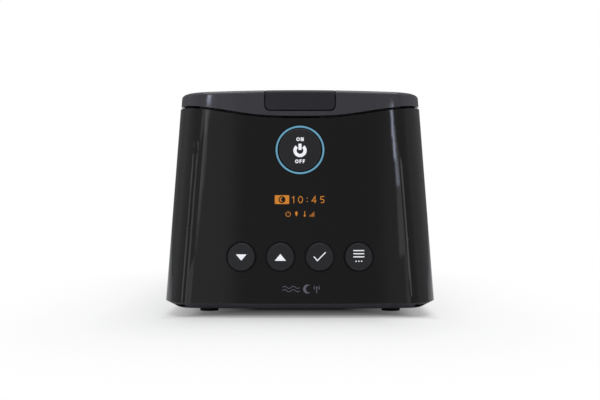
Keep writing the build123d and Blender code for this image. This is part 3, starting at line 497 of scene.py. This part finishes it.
# %% Stroke letters
def glyph(sign, weight):
    """Strips of one sign, one unit high from z = 0, and the sign's width."""
    half = weight / 2
    high = 1 - half
    if sign == "O":
        return [ring_of(0.5 - half, weight, (0.46, 0.5), 0.92)], 0.92
    if sign == "0":
        return [ring_of(0.5 - half, weight, (0.34, 0.5), 0.66)], 0.68
    if sign == "N":
        wide = 0.78
        return [line([(half, 0), (half, 1)], weight), line([(wide - half, 0), (wide - half, 1)], weight),
                line([(weight, 1 - weight * 0.2), (wide - weight, weight * 0.2)], weight)], wide
    if sign == "F":
        return [line([(0.60, high), (half, high), (half, 0)], weight),
                line([(weight, 0.50), (0.54, 0.50)], weight)], 0.60
    if sign == "1":
        return [line([(0.06, 0.74), (0.30, high - 0.02), (0.30, 0)], weight)], 0.40
    if sign == "4":
        return [line([(0.50, 0), (0.50, high), (half, 0.30), (0.50 - half, 0.30)], weight),
                line([(0.50 + half, 0.30), (0.70, 0.30)], weight)], 0.70
    if sign == "5":
        bowl = arc(0.30 - half, 110, -140, (0.32, 0.30), 19)
        stem = [(0.60, high), (0.12, high), (0.09, 0.53)]
        return [line(np.concatenate([stem, bowl]), weight)], 0.64
    return [disc(weight * 0.62, (0.1, 0.24)), disc(weight * 0.62, (0.1, 0.70))], 0.20      # a colon


def word(signs, height, weight, x, z, gap=0.24):
    """A word of stroke signs centred on x and z, height in millimetres."""
    made, along = [], 0.0
    for sign in signs:
        strips, wide = glyph(sign, weight / height)
        made += moved(strips, along)
        along += wide + gap
    return moved(made, x - height * (along - gap) / 2, z - height / 2, height)


print("the signs:", {sign: len(glyph(sign, 0.2)[0]) for sign in "ONF0145:"}, "strips each")

# %% [markdown]
# ## From strips to thin inked pieces
# Ink could be an image on the part's own surface, but the parts have no unwrapped surface to hold
# one. Instead a strip becomes a sheet of quads. Its y comes from the fitted surface, and a Solidify
# modifier gives it a wall, so the ink stands a few hundredths of a millimetre proud and reaches a
# little into the part that carries it, like a real pad print or a lit window.

# %% Inked pieces
PROUD = 0.03 * MM
INK = 0.10 * MM
SAME_PLACE = 1e-8           # points closer than this are one


def tidy(mesh):
    """Merges doubled points, then turns every face of a front mark towards the viewer's side."""
    work = bmesh.new()
    work.from_mesh(mesh)
    bmesh.ops.remove_doubles(work, verts=work.verts, dist=SAME_PLACE)
    bmesh.ops.dissolve_degenerate(work, edges=work.edges, dist=SAME_PLACE)
    work.normal_update()
    bmesh.ops.reverse_faces(work, faces=[face for face in work.faces if face.normal.y > 0])
    work.to_mesh(mesh)
    work.free()


def between_rows(strip, rows=3):
    """Splits each strip across its width, so that wide marks follow the bowed surface."""
    share = np.linspace(0, 1, rows)[None, :, None]
    return strip[:, :1] * (1 - share) + strip[:, 1:] * share


def new_piece(name, mesh, finish):
    """A new object at the origin, in one finish."""
    mesh.materials.clear()
    mesh.materials.append(finish)
    piece = bpy.data.objects.new(name, mesh)
    bpy.context.collection.objects.link(piece)
    return piece


def ink(name, strips, carrier, finish, body, fit=None, origin=(0.0, 0.0)):
    """One piece from strips in millimetres about an origin in metres, laid on a fitted surface."""
    sheets, faces, first = [], [], 0
    for strip in strips:
        sheet = between_rows(np.asarray(strip))
        rows, columns = sheet.shape[:2]
        sheets.append(sheet.reshape(-1, 2) * MM + np.array(origin))
        corner = first + (np.arange(rows - 1)[:, None] * columns + np.arange(columns - 1)).ravel()
        faces.append(np.column_stack([corner, corner + 1, corner + columns + 1, corner + columns]))
        first += rows * columns
    flat = np.concatenate(sheets)
    fit = front_of(carrier) if fit is None else fit
    depth = fit[0] + fit[1] * flat[:, 1] + fit[2] * flat[:, 0] ** 2 - PROUD
    places = np.column_stack([flat[:, 0], depth, flat[:, 1]])
    mesh = bpy.data.meshes.new(name)
    mesh.from_pydata(places.tolist(), [], np.concatenate(faces).tolist())
    tidy(mesh)
    piece = new_piece(name, mesh, finish)
    wall = piece.modifiers.new("wall", "SOLIDIFY")
    wall.thickness = INK
    wall.offset = -1.0
    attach(piece, body)
    return piece


print("ink", round(INK / MM, 2), "mm thick,", round(PROUD / MM, 2), "mm of it proud")

# %% [markdown]
# ## Inks
# White ink on the caps is lit from behind a little, the display's amber shines through the gloss
# panel, and the low signs are plain grey print. Lamps behind a mask could light them, but then the
# marks would have to be holes. A glow of the ink's own does the same, and its strength sets how
# bright each mark reads.

# %% Inks
INK_WHITE = (0.86, 0.86, 0.90)
INK_GREY = (0.150, 0.148, 0.185)
AMBER = (0.430, 0.148, 0.013)
THINNEST = 0.94             # how bright the ink is where it lies thinnest


def ink_finish(name, base, glow, roughness=0.35):
    """Ink with a slight unevenness; glow is the strength of its own light."""
    finish = make_finish(name, base, roughness, Emission_Color=(*base, 1), Emission_Strength=glow)
    uneven = noise(finish, 2600, detail=1.0)
    vary_colour(finish, uneven, tuple(THINNEST * channel for channel in base), base)
    relief(finish, uneven, 2e-6)
    return finish


white = ink_finish("ink_white", INK_WHITE, 0.38)
grey = ink_finish("ink_grey", INK_GREY, 0.0)
amber = ink_finish("display_amber", AMBER, 0.75)
print("inks:", white.name, grey.name, amber.name)

# %% [markdown]
# ## Marks on the buttons
# The start button carries ON, a power sign and OFF. The four small buttons carry down, up, a tick,
# and three bars over three dots. They could all be one printed piece, but each button moves by
# itself, so each print is a piece of its own that rides on its button.

# %% Marks on the buttons
STROKE = 0.64
WORD_HEIGHT, WORD_WEIGHT = 2.35, 0.55
ON_Z, OFF_Z = 7.0, -6.7
POWER_R, POWER_STROKE = 3.10, 2.0
TICK = [(-3.6, 0.5), (-1.4, -2.0), (3.7, 3.1)]
DOWNWARDS = np.array([0.94, -0.90])     # the down arrow is the up arrow, turned over and a little smaller
BAR_HALF = 3.4
DOT_R = 0.42


def centre_of(name):
    """x and z of the middle of a node's box."""
    low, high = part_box(name)
    return ((low.x + high.x) / 2, (low.z + high.z) / 2)


power = [line(arc(POWER_R, 130, 410, count=41), POWER_STROKE), line([(0, 0.4), (0, 4.25)], 1.9)]
words = word("ON", WORD_HEIGHT, WORD_WEIGHT, 0, ON_Z) + word("OFF", WORD_HEIGHT, WORD_WEIGHT, 0, OFF_Z)
triangle = upright([-2.1, 2.1], [3.5, 0.0])
menu_bars = [line([(-BAR_HALF, z), (BAR_HALF, z)], STROKE) for z in (4.2, 2.3, 0.4)]
menu_dots = [disc(DOT_R, (x, -2.3)) for x in (-1.7, 0.0, 1.7)]
button_marks = {
    "start_button": power + words,
    "down_button": [triangle * DOWNWARDS],
    "up_button": [triangle],
    "confirm_button": [line(TICK, STROKE)],
    "menu_button": menu_bars + menu_dots,
}
for name, strips in button_marks.items():
    print(ink(name + "_print", strips, name, white, name, origin=centre_of(name)).name)

# %% [markdown]
# ## Lit signs of the display
# The display is dark until it is lit, and then its signs shine through the gloss panel: a box with
# a moon, a time, and a row of four small signs. A lit screen behind a see-through panel would work
# too, but the panel would no longer be black, so the signs lie on the panel's surface. The box is
# a strip between a rectangle and a round porthole: each point of the rectangle lies on the same
# ray as a point of the porthole.

# %% Lit signs of the display
display_x, display_z = centre_of("display_module")
DIGITS_Z, ICONS_Z = 4.5, -4.3
BOX_X, BOX_HALF, PORTHOLE_R = -11.1, (4.45, 2.7), 2.15
TIME_X, TIME_HEIGHT, TIME_WEIGHT, TIME_GAP = 5.0, 4.3, 0.47, 0.52
POWER_X, DROP_X, THERMOMETER_X = -7.3, -2.2, 2.9
BARS = ((6.0, 0.9), (6.85, 1.6), (7.7, 2.3), (8.55, 3.0))      # the place and height of each bar
ICON_STROKE = 0.36
ICON_FOOT = ICONS_Z - 1.7

porthole = arc(PORTHOLE_R, 0, 360, count=49)[:-1]
ray = np.arctan2(porthole[:, 1], porthole[:, 0])
reach = np.minimum(BOX_HALF[0] / np.maximum(np.abs(np.cos(ray)), 1e-6),
                   BOX_HALF[1] / np.maximum(np.abs(np.sin(ray)), 1e-6))
rim = np.column_stack([np.cos(ray), np.sin(ray)]) * reach[:, None]
box_strip = np.stack([rim, porthole], axis=1)
box_strip = np.concatenate([box_strip, box_strip[:1]])
moon = crescent(1.35, 1.20, 0.80, (-0.10, 0.0))

display_marks = moved([box_strip, moon], BOX_X, DIGITS_Z)
display_marks += word("10:45", TIME_HEIGHT, TIME_WEIGHT, TIME_X, DIGITS_Z, gap=TIME_GAP)
display_marks += [
    line(arc(1.45, 125, 415, (POWER_X, ICONS_Z - 0.1), 31), ICON_STROKE),
    line([(POWER_X, ICONS_Z + 0.3), (POWER_X, ICONS_Z + 1.8)], ICON_STROKE),
    drop(0.75, 3.2, DROP_X, ICONS_Z),
    upright([ICONS_Z + 1.7, ICONS_Z - 0.55], 0.22, THERMOMETER_X),
    disc(0.62, (THERMOMETER_X, ICONS_Z - 1.05)),
]
display_marks += [upright([ICON_FOOT, ICON_FOOT + tall], ICON_STROKE / 2, x) for x, tall in BARS]
shown = ink("display_signs", display_marks, "front_fascia", amber, "root",
            panel, (display_x, display_z))
print(shown.name, "from", len(display_marks), "strips")

# %% [markdown]
# ## Quiet signs low on the panel
# Below the buttons are three small grey signs: two waves of air, a crescent for the night and an
# antenna. They are printed, not lit, so their ink has no glow. The waves are sines, which a strip
# follows as easily as a straight line.

# %% Quiet signs low on the panel
LABEL_Z = 17.9 * MM
WAVE_RISE, WAVE_HALF = 0.62, 2.7        # a wave's height and half its length
MAST_X, MAST_TOP = 10.2, 0.75

wave_x = np.linspace(-10.8, -0.2, 61)
wave_z = WAVE_RISE * np.sin((wave_x + 2 * WAVE_HALF) * math.pi / WAVE_HALF)
waves = [line(np.column_stack([wave_x, z + wave_z]), ICON_STROKE) for z in (1.0, -1.0)]
night = crescent(2.7, 2.3, 1.5, (4.6, 0.0))
mast = [line([(MAST_X, -2.5), (MAST_X, 0.6)], 0.45), disc(0.62, (MAST_X, MAST_TOP))]
mast += [line(arc(1.6, start, start + 90, (MAST_X, MAST_TOP), 13), 0.40) for start in (-45, 135)]
label = waves + [night] + mast
shown = ink("panel_signs", label, "front_fascia", grey, "root", panel, (0.0, LABEL_Z))
print(shown.name, "from", len(label), "strips")

# %% [markdown]
# ## The felt of the air filter
# Behind the grille sits a pad of white felt. In the frame it is a plain block. Bevelled edges would
# do for a hard block, but felt has no hard edge at all, so this surface stands for it: a
# superellipsoid, in which cosines raised to a small power give flat faces with soft, rounded
# edges, and a slight swell between the grille's bars.

# %% Filter pad
ROUNDNESS = 0.14            # the power: 1 is an ellipsoid, 0 a block
SWELL = 0.12 * MM
TOUCHING = 1e-7             # points this near to each other are merged
WAVES_ACROSS, WAVES_UP = 180, 900       # of the swell, in radians per metre


def rounded(value):
    """A signed power, which flattens a sine or a cosine towards one and minus one."""
    return np.sign(value) * np.abs(value) ** ROUNDNESS


def filter_pad(name, low, high, rows=90, columns=180):
    """x, y and z are the half sizes times signed powers of cos and sin of two angles; the two
    broad faces also swell by a product of two waves. The power keeps the rows at the poles from
    shrinking to a point, so the middle of each broad face has a hole of 0.4 by 0.3 mm."""
    middle, half = (np.array(low) + high) / 2, (np.array(high) - low) / 2
    up = np.linspace(-math.pi / 2, math.pi / 2, rows)[:, None]
    around = np.linspace(-math.pi, math.pi, columns, endpoint=False)[None, :]
    x = middle[0] + half[0] * rounded(np.cos(up)) * rounded(np.cos(around))
    z = middle[2] + half[2] * rounded(np.cos(up)) * rounded(np.sin(around))
    ripple = 1 + np.cos(WAVES_UP * (z - middle[2])) * np.cos(WAVES_ACROSS * (x - middle[0]))
    y = middle[1] + rounded(np.sin(up)) * (half[1] - SWELL * ripple)
    places = np.stack([x, y, z], axis=-1).reshape(-1, 3)
    here = np.arange(rows - 1)[:, None] * columns + np.arange(columns)
    right = np.arange(rows - 1)[:, None] * columns + (np.arange(columns) + 1) % columns
    faces = np.stack([here, right, right + columns, here + columns], axis=-1).reshape(-1, 4)
    mesh = bpy.data.meshes.new(name)
    mesh.from_pydata(places.tolist(), [], faces.tolist())
    return mesh


def one_skin(mesh, slivers=False):
    """Merges points that lie together, drops slivers if it is to, and turns faces outwards."""
    work = bmesh.new()
    work.from_mesh(mesh)
    bmesh.ops.remove_doubles(work, verts=work.verts, dist=TOUCHING)
    if slivers:
        bmesh.ops.dissolve_degenerate(work, edges=work.edges, dist=SAME_PLACE)
    bmesh.ops.recalc_face_normals(work, faces=work.faces)
    work.to_mesh(mesh)
    work.free()
    mesh.shade_smooth()


pad_mesh = filter_pad("air_filter_pad", *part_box("air_filter"))
one_skin(pad_mesh)
pad = new_piece("air_filter_pad", pad_mesh, finishes["filter_felt"])
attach(pad, "filter")
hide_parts("air_filter")
print("filter pad with", len(pad_mesh.vertices), "points")

# %% [markdown]
# ## Copies of the springs
# A leaf spring sits behind the latch, and two coils carry the heater plate. When the latch is
# pushed or a full water chamber is set down, a real spring gets shorter. The frame's own spring
# can't, and would be pressed through, and a spring drawn anew could differ from it. So a copy of
# its surface is merged into one skin and takes the frame spring's place on the same body. The end
# that the record calls fixed and the spring's reach from it are worked out, but the copy is not
# made to flatten.

# %% Springs
SPRINGS = {"latch_spring": ("latch_leaf_spring", "lid"), "heater_springs": ("heater_coil_springs", "root")}
CREASE = math.radians(35)   # edges sharper than this stay sharp


def spring_copy(name, source):
    """A new piece with a node's surface, its loose triangles joined at their corners."""
    mesh = nodes[source].data.copy()
    mesh.name = name
    one_skin(mesh, slivers=True)
    mesh.set_sharp_from_angle(angle=CREASE)
    return new_piece(name, mesh, finishes["steel"])


for joint in frame["record"]["behaviour"]["joints"]:
    for given in joint.get("deforming_nodes", []):
        name, body = SPRINGS[given["node"]]
        way = given["mode"][-1]
        along = "xyz".index(way)
        low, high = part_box(given["node"])
        anchor = (low + high) / 2
        anchor[along] = given["fixed_end_%s_m" % way]
        reach = max(abs(low[along] - anchor[along]), abs(high[along] - anchor[along]))
        spring = spring_copy(name, given["node"])
        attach(spring, body)
        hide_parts(given["node"])
        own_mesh(spring)

# %% [markdown]
# ## Floor
# A product shot on white needs a floor that fades into the background yet keeps the shadow under
# the machine. More lamps would whiten it and spoil the black gloss. So the floor is a plain pale
# sheet with a faint gloss that also glows, for the camera only, and more the further it lies from
# the machine's base, until it runs into the white of the background. The shade near the base is
# partly the lamp's real shadow and partly painted shade, shaped by where the glow is held back.

# %% Floor sheet
FLOOR_HALF = 6.0

floor_mesh = bpy.data.meshes.new("floor")
floor_corners = [(-FLOOR_HALF, -FLOOR_HALF, 0), (FLOOR_HALF, -FLOOR_HALF, 0),
                 (FLOOR_HALF, FLOOR_HALF, 0), (-FLOOR_HALF, FLOOR_HALF, 0)]
floor_mesh.from_pydata(floor_corners, [], [(0, 1, 2, 3)])
floor_paint = make_finish("floor_pale", (0.84, 0.84, 0.85), 0.25)
floor = new_piece("floor", floor_mesh, floor_paint)
print("floor", 2 * FLOOR_HALF, "m wide")

# %% [markdown]
# ## How far the floor lies from the machine
# The glow needs one number for each point of the floor. Under the machine it is negative, the
# depth inside the base's outline. Outside it is a distance, worked out as for an ellipse: the root
# of (SIDEWAYS x) squared plus y squared, each counted from the edge of a patch of painted shade.
# That patch holds the glow back, so the floor there stays as dark as the lamps leave it. It is
# narrower than the base and a little left of its middle, and its shape is painted, not cast. A
# short gate at the base's rim joins the two parts.

# %% Distance from the base
BASE_HALF = (0.082, 0.137)      # half sizes of the machine's base on the floor
# The deep shade is painted shade: its size, its shift to the left and its sideways fade are set here, not
# cast by the lamp.
PAINTED_SHADE_HALF = (0.050, 0.137)     # half sizes of the deep shade
PAINTED_SHADE_X = -0.010                # the shade's middle is a little left of the machine's
SIDEWAYS = 1.6                  # the shade fades this much faster sideways than forwards
RIM_GATE = (-0.004, 0.006)      # metres past the base's rim, where the outer distance begins to count


def past(value, middle, half):
    """How far a place lies outside a strip of the floor; negative inside."""
    from_middle = calculate(floor_paint, "ABSOLUTE", calculate(floor_paint, "SUBTRACT", value, middle))
    return calculate(floor_paint, "SUBTRACT", from_middle, half)


def squared(value):
    """The square of a socket, nought where it is negative."""
    return calculate(floor_paint, "POWER", calculate(floor_paint, "MAXIMUM", value, 0.0), 2.0)


floor_x, floor_y, _ = object_place(floor_paint)
past_side, past_end = past(floor_x, 0.0, BASE_HALF[0]), past(floor_y, 0.0, BASE_HALF[1])
to_edge = calculate(floor_paint, "MAXIMUM", past_side, past_end)
under = calculate(floor_paint, "MINIMUM", to_edge, 0.0)
sideways = calculate(floor_paint, "MULTIPLY", past(floor_x, PAINTED_SHADE_X, PAINTED_SHADE_HALF[0]), SIDEWAYS)
forwards = past(floor_y, 0.0, PAINTED_SHADE_HALF[1])
beyond = calculate(floor_paint, "SQRT", calculate(floor_paint, "ADD", squared(sideways), squared(forwards)))
beyond = calculate(floor_paint, "MULTIPLY", beyond, remap(floor_paint, to_edge, RIM_GATE))
from_base = calculate(floor_paint, "ADD", under, beyond)
print("shade", round(2 * PAINTED_SHADE_HALF[0] / MM), "mm wide under a base of", round(2 * BASE_HALF[0] / MM), "mm")

# %% [markdown]
# ## The floor's glow
# The number above picks the share of glow from a list of levels. The list is a colour ramp, which
# is easier to shape than a formula: nothing deep under the machine, a quick rise at the rim and a
# long, slow one out to white. Light Path keeps the glow for the camera's own rays, so that the
# machine mirrors and receives nothing of it.

# %% Glow
# These levels paint light and shade on the floor: they lighten the shadow under the base and set the falloff
# of the painted shade around it.
GLOW = [(-0.055, 0.0), (-0.031, 0.10), (-0.020, 0.15), (-0.010, 0.34), (0.0, 0.43), (0.010, 0.46),
        (0.035, 0.62), (0.060, 0.735), (0.110, 0.88), (0.180, 0.965), (0.250, 1.0)]


def fill_ramp(ramp, levels):
    """Grey stops of a colour ramp from (value, level) pairs, spread over the ramp's whole length."""
    stops = ramp.color_ramp.elements
    first, last = levels[0][0], levels[-1][0]
    for value, _ in levels[1:-1]:
        stops.new((value - first) / (last - first))
    for stop, (_, level) in zip(stops, levels):
        stop.color = (level, level, level, 1)


glow_share = add(floor_paint, "ValToRGB")
fill_ramp(glow_share, GLOW)
join(floor_paint, remap(floor_paint, from_base, (GLOW[0][0], GLOW[-1][0])), glow_share.inputs["Fac"])
path = add(floor_paint, "LightPath")
share = calculate(floor_paint, "MULTIPLY", path.outputs["Is Camera Ray"], glow_share.outputs["Color"])
glow = add(floor_paint, "Emission", {"Color": (1, 1, 1, 1), "Strength": 1.0})
blend = add(floor_paint, "MixShader")
surface = floor_paint.node_tree.nodes["Material Output"].inputs["Surface"]
join(floor_paint, share, blend.inputs["Fac"])
join(floor_paint, shader_of(floor_paint).outputs["BSDF"], blend.inputs[1])
join(floor_paint, glow.outputs["Emission"], blend.inputs[2])
join(floor_paint, blend.outputs["Shader"], surface)
print("glow reaches white", round(GLOW[-1][0] / MM), "mm from the base")

# %% [markdown]
# ## The room round the table
# The camera sees the world as plain white. Everything else sees a studio, because a glossy black
# front only looks black when what it mirrors is dark: a dim wall behind the camera, paler walls to
# the sides, black flags behind the machine that keep its outline crisp, and a pale ceiling. A
# picture of a studio could be wrapped round the scene. A ramp of levels does the same in a few
# numbers: each says how bright the room is at one compass angle, counted from the camera's side
# of the machine towards its right.

# %% Walls
ROOM = [(-180, 0.08), (-130, 0.22), (-105, 0.46), (-78, 0.45), (-66, 0.40), (-50, 0.36), (-36, 0.40),
        (-24, 0.42), (-21.3, 0.50), (-15.6, 0.47), (-14, 0.41), (-12, 0.27), (12, 0.25), (15.8, 0.26),
        (17.5, 0.34), (19.0, 0.42), (24, 0.34), (44, 0.30), (60, 0.36), (70, 0.48), (100, 0.42),
        (130, 0.26), (180, 0.08)]

world = bpy.data.worlds.new("studio")
bpy.context.scene.world = world
world.use_nodes = True
world.node_tree.nodes.clear()

gaze, gaze_parts = add(world, "TexCoord"), add(world, "SeparateXYZ")
join(world, gaze.outputs["Generated"], gaze_parts.inputs["Vector"])
to_camera = calculate(world, "MULTIPLY", gaze_parts.outputs["Y"], -1.0)
compass = calculate(world, "DEGREES", calculate(world, "ARCTAN2", gaze_parts.outputs["X"], to_camera))
elevation = calculate(world, "DEGREES", calculate(world, "ARCSINE", gaze_parts.outputs["Z"]))
walls = add(world, "ValToRGB")
fill_ramp(walls, ROOM)
join(world, remap(world, compass, (ROOM[0][0], ROOM[-1][0])), walls.inputs["Fac"])
print("room with", len(ROOM), "levels")

# %% [markdown]
# ## Panels and strip lights
# Tall soft panels stand on both sides. Their mirror images are the upright streaks on the front
# corners. Narrow strip lights of a cooler white stand among them. They could be area lamps, but a
# lamp has to be placed, turned and sized until its image falls right. A patch of the world needs
# its direction alone, so each light lies between two compass angles and two elevations, and its
# edges may lean, as a panel on a tripod does. A patch is a product of soft steps, one up and one
# down for each direction.

# %% Panels and strip lights
SOFT_EDGE = 0.15            # degrees, either side of a patch's edge
TO_FLOOR = -30.0            # the elevation of a panel that reaches past all that the front mirrors
# compass from and to (at the horizon), lean in degrees per degree of elevation, elevation from and
# to, level
PANELS = {
    "left_high": (-37.0, -22.2, 0.25, 13.3, 14.9, 0.55),
    "left_near": (-26.5, -22.2, 0.25, 6.8, 14.9, 0.85),
    "left_edge": (-22.2, -22.0, 0.25, 10.3, 14.9, 0.50),
    "left_far": (-48.0, -41.0, 0.25, TO_FLOOR, 12.9, 0.80),
    "left_side": (-66.0, -60.0, 0.25, TO_FLOOR, 12.2, 0.95),
    "left_low": (-40.0, -22.5, 0.25, TO_FLOOR, 6.6, 0.50),
    "right_high": (22.3, 27.0, -0.25, 11.7, 13.7, 1.10),
    "right_near": (20.8, 28.0, -0.14, 6.7, 11.7, 0.60),
    "right_far": (32.0, 38.0, -0.25, 5.5, 12.2, 1.15),
    "right_low": (21.4, 30.0, -0.14, TO_FLOOR, 6.7, 0.42),
}
STRIP_LIGHTS = {
    "lid_strip": (-25.75, -25.55, 0.50, 14.85, 22.0, 18.0),
    "front_strip_high": (21.80, 22.15, -0.25, 13.1, 14.8, 7.3),
    "front_strip_middle": (21.92, 22.15, -0.25, 11.9, 13.1, 9.6),
    "front_strip_low": (22.00, 22.25, -0.25, 10.5, 11.9, 3.8),
}


def soft_step(value, edge, to):
    """A smooth step at an edge, from one level to another."""
    span = (edge - SOFT_EDGE, edge + SOFT_EDGE)
    return remap(world, value, span, to, interpolation_type="SMOOTHSTEP")


def between(value, low, high):
    """One between low and high, nought outside: a step up times a step down."""
    rise, fall = soft_step(value, low, (0.0, 1.0)), soft_step(value, high, (1.0, 0.0))
    return calculate(world, "MULTIPLY", rise, fall)


def with_patches(level, patches):
    """Adds patches of light to a level, which may be a socket or a number."""
    for start, end, lean, low, high, strength in patches.values():
        at_horizon = calculate(world, "SUBTRACT", compass, calculate(world, "MULTIPLY", elevation, lean))
        patch = calculate(world, "MULTIPLY", between(at_horizon, start, end), between(elevation, low, high))
        level = calculate(world, "ADD", calculate(world, "MULTIPLY", patch, strength), level)
    return level


panel_level = with_patches(walls.outputs["Color"], PANELS)
strip_level = with_patches(0.0, STRIP_LIGHTS)
print(len(PANELS), "panels and", len(STRIP_LIGHTS), "strip lights")

# %% [markdown]
# ## Ceiling, colours and what the camera sees
# Above a certain height the walls give way to a pale, even ceiling. The walls and panels share one
# faintly blue white, and the strip lights add a cooler one of their own. White walls all round
# would give the white background too, but would wash out the black front. So Light Path swaps the
# room for plain white only where the camera looks straight at it.

# %% World
CEILING = 0.75
CEILING_EDGE = (0.45, 0.80)     # sine of the elevation: where the wall ends, where the ceiling begins
ROOM_WHITE = (0.95, 0.97, 1.0)
COOL_WHITE = (0.72, 0.78, 1.0)

overhead = remap(world, gaze_parts.outputs["Z"], CEILING_EDGE, interpolation_type="SMOOTHSTEP")
roof = add(world, "Mix", {"B": CEILING}, data_type="FLOAT")
room = add(world, "Background", {"Color": (*ROOM_WHITE, 1)})
strips = add(world, "Background", {"Color": (*COOL_WHITE, 1)})
backdrop = add(world, "Background", {"Color": (1, 1, 1, 1)})
studio = add(world, "AddShader")
choice = add(world, "MixShader")
seen = add(world, "LightPath")
out = add(world, "OutputWorld")
join(world, overhead, roof.inputs["Factor"])
join(world, panel_level, roof.inputs["A"])
join(world, roof.outputs["Result"], room.inputs["Strength"])
join(world, strip_level, strips.inputs["Strength"])
join(world, room.outputs[0], studio.inputs[0])
join(world, strips.outputs[0], studio.inputs[1])
join(world, seen.outputs["Is Camera Ray"], choice.inputs["Fac"])
join(world, studio.outputs[0], choice.inputs[1])
join(world, backdrop.outputs[0], choice.inputs[2])
join(world, choice.outputs[0], out.inputs["Surface"])
print("world of", len(world.node_tree.nodes), "nodes")

# %% [markdown]
# ## Lamp
# One large softbox hangs above the machine, a little before it. The room alone casts only the
# faint shadow of an overcast day, and a small lamp would draw a hard one. A big area lamp at a low
# power gives a soft shadow that tells where the machine stands.

# %% Lamp
SOFTBOX_SIZE = (1.2, 1.0)
SOFTBOX_WATTS = 9.0
SOFTBOX_PLACE = (0.0, -0.25, 1.3)
SOFTBOX_TILT = 11           # degrees

key = bpy.data.lights.new("top_softbox", "AREA")
key.shape = "RECTANGLE"
key.size, key.size_y = SOFTBOX_SIZE
key.energy = SOFTBOX_WATTS
softbox = bpy.data.objects.new("top_softbox", key)
softbox.location = SOFTBOX_PLACE
softbox.rotation_euler = (math.radians(SOFTBOX_TILT), 0, 0)
bpy.context.collection.objects.link(softbox)
print("softbox of", SOFTBOX_WATTS, "W at height", SOFTBOX_PLACE[2], "m")

# %% [markdown]
# ## Camera
# The viewpoint is straight on and level with the middle of the machine, about two thirds of a metre
# in front of it. A wide lens closer by would exaggerate the perspective, so the lens is a short
# telephoto, and it needs no shift.

# %% Camera
CAMERA_Y, CAMERA_Z, LENS = -0.7875, 0.0723, 63.9
SENSOR = 36.0               # millimetres, as the lens is
NEAREST = 0.01

camera = bpy.data.objects.new("camera", bpy.data.cameras.new("camera"))
camera.location = (0.0, CAMERA_Y, CAMERA_Z)
camera.rotation_euler = (math.radians(90), 0, 0)
camera.data.sensor_width = SENSOR
camera.data.lens = LENS
camera.data.clip_start = NEAREST
bpy.context.collection.objects.link(camera)
bpy.context.scene.camera = camera
bpy.context.scene.view_settings.view_transform = "Standard"
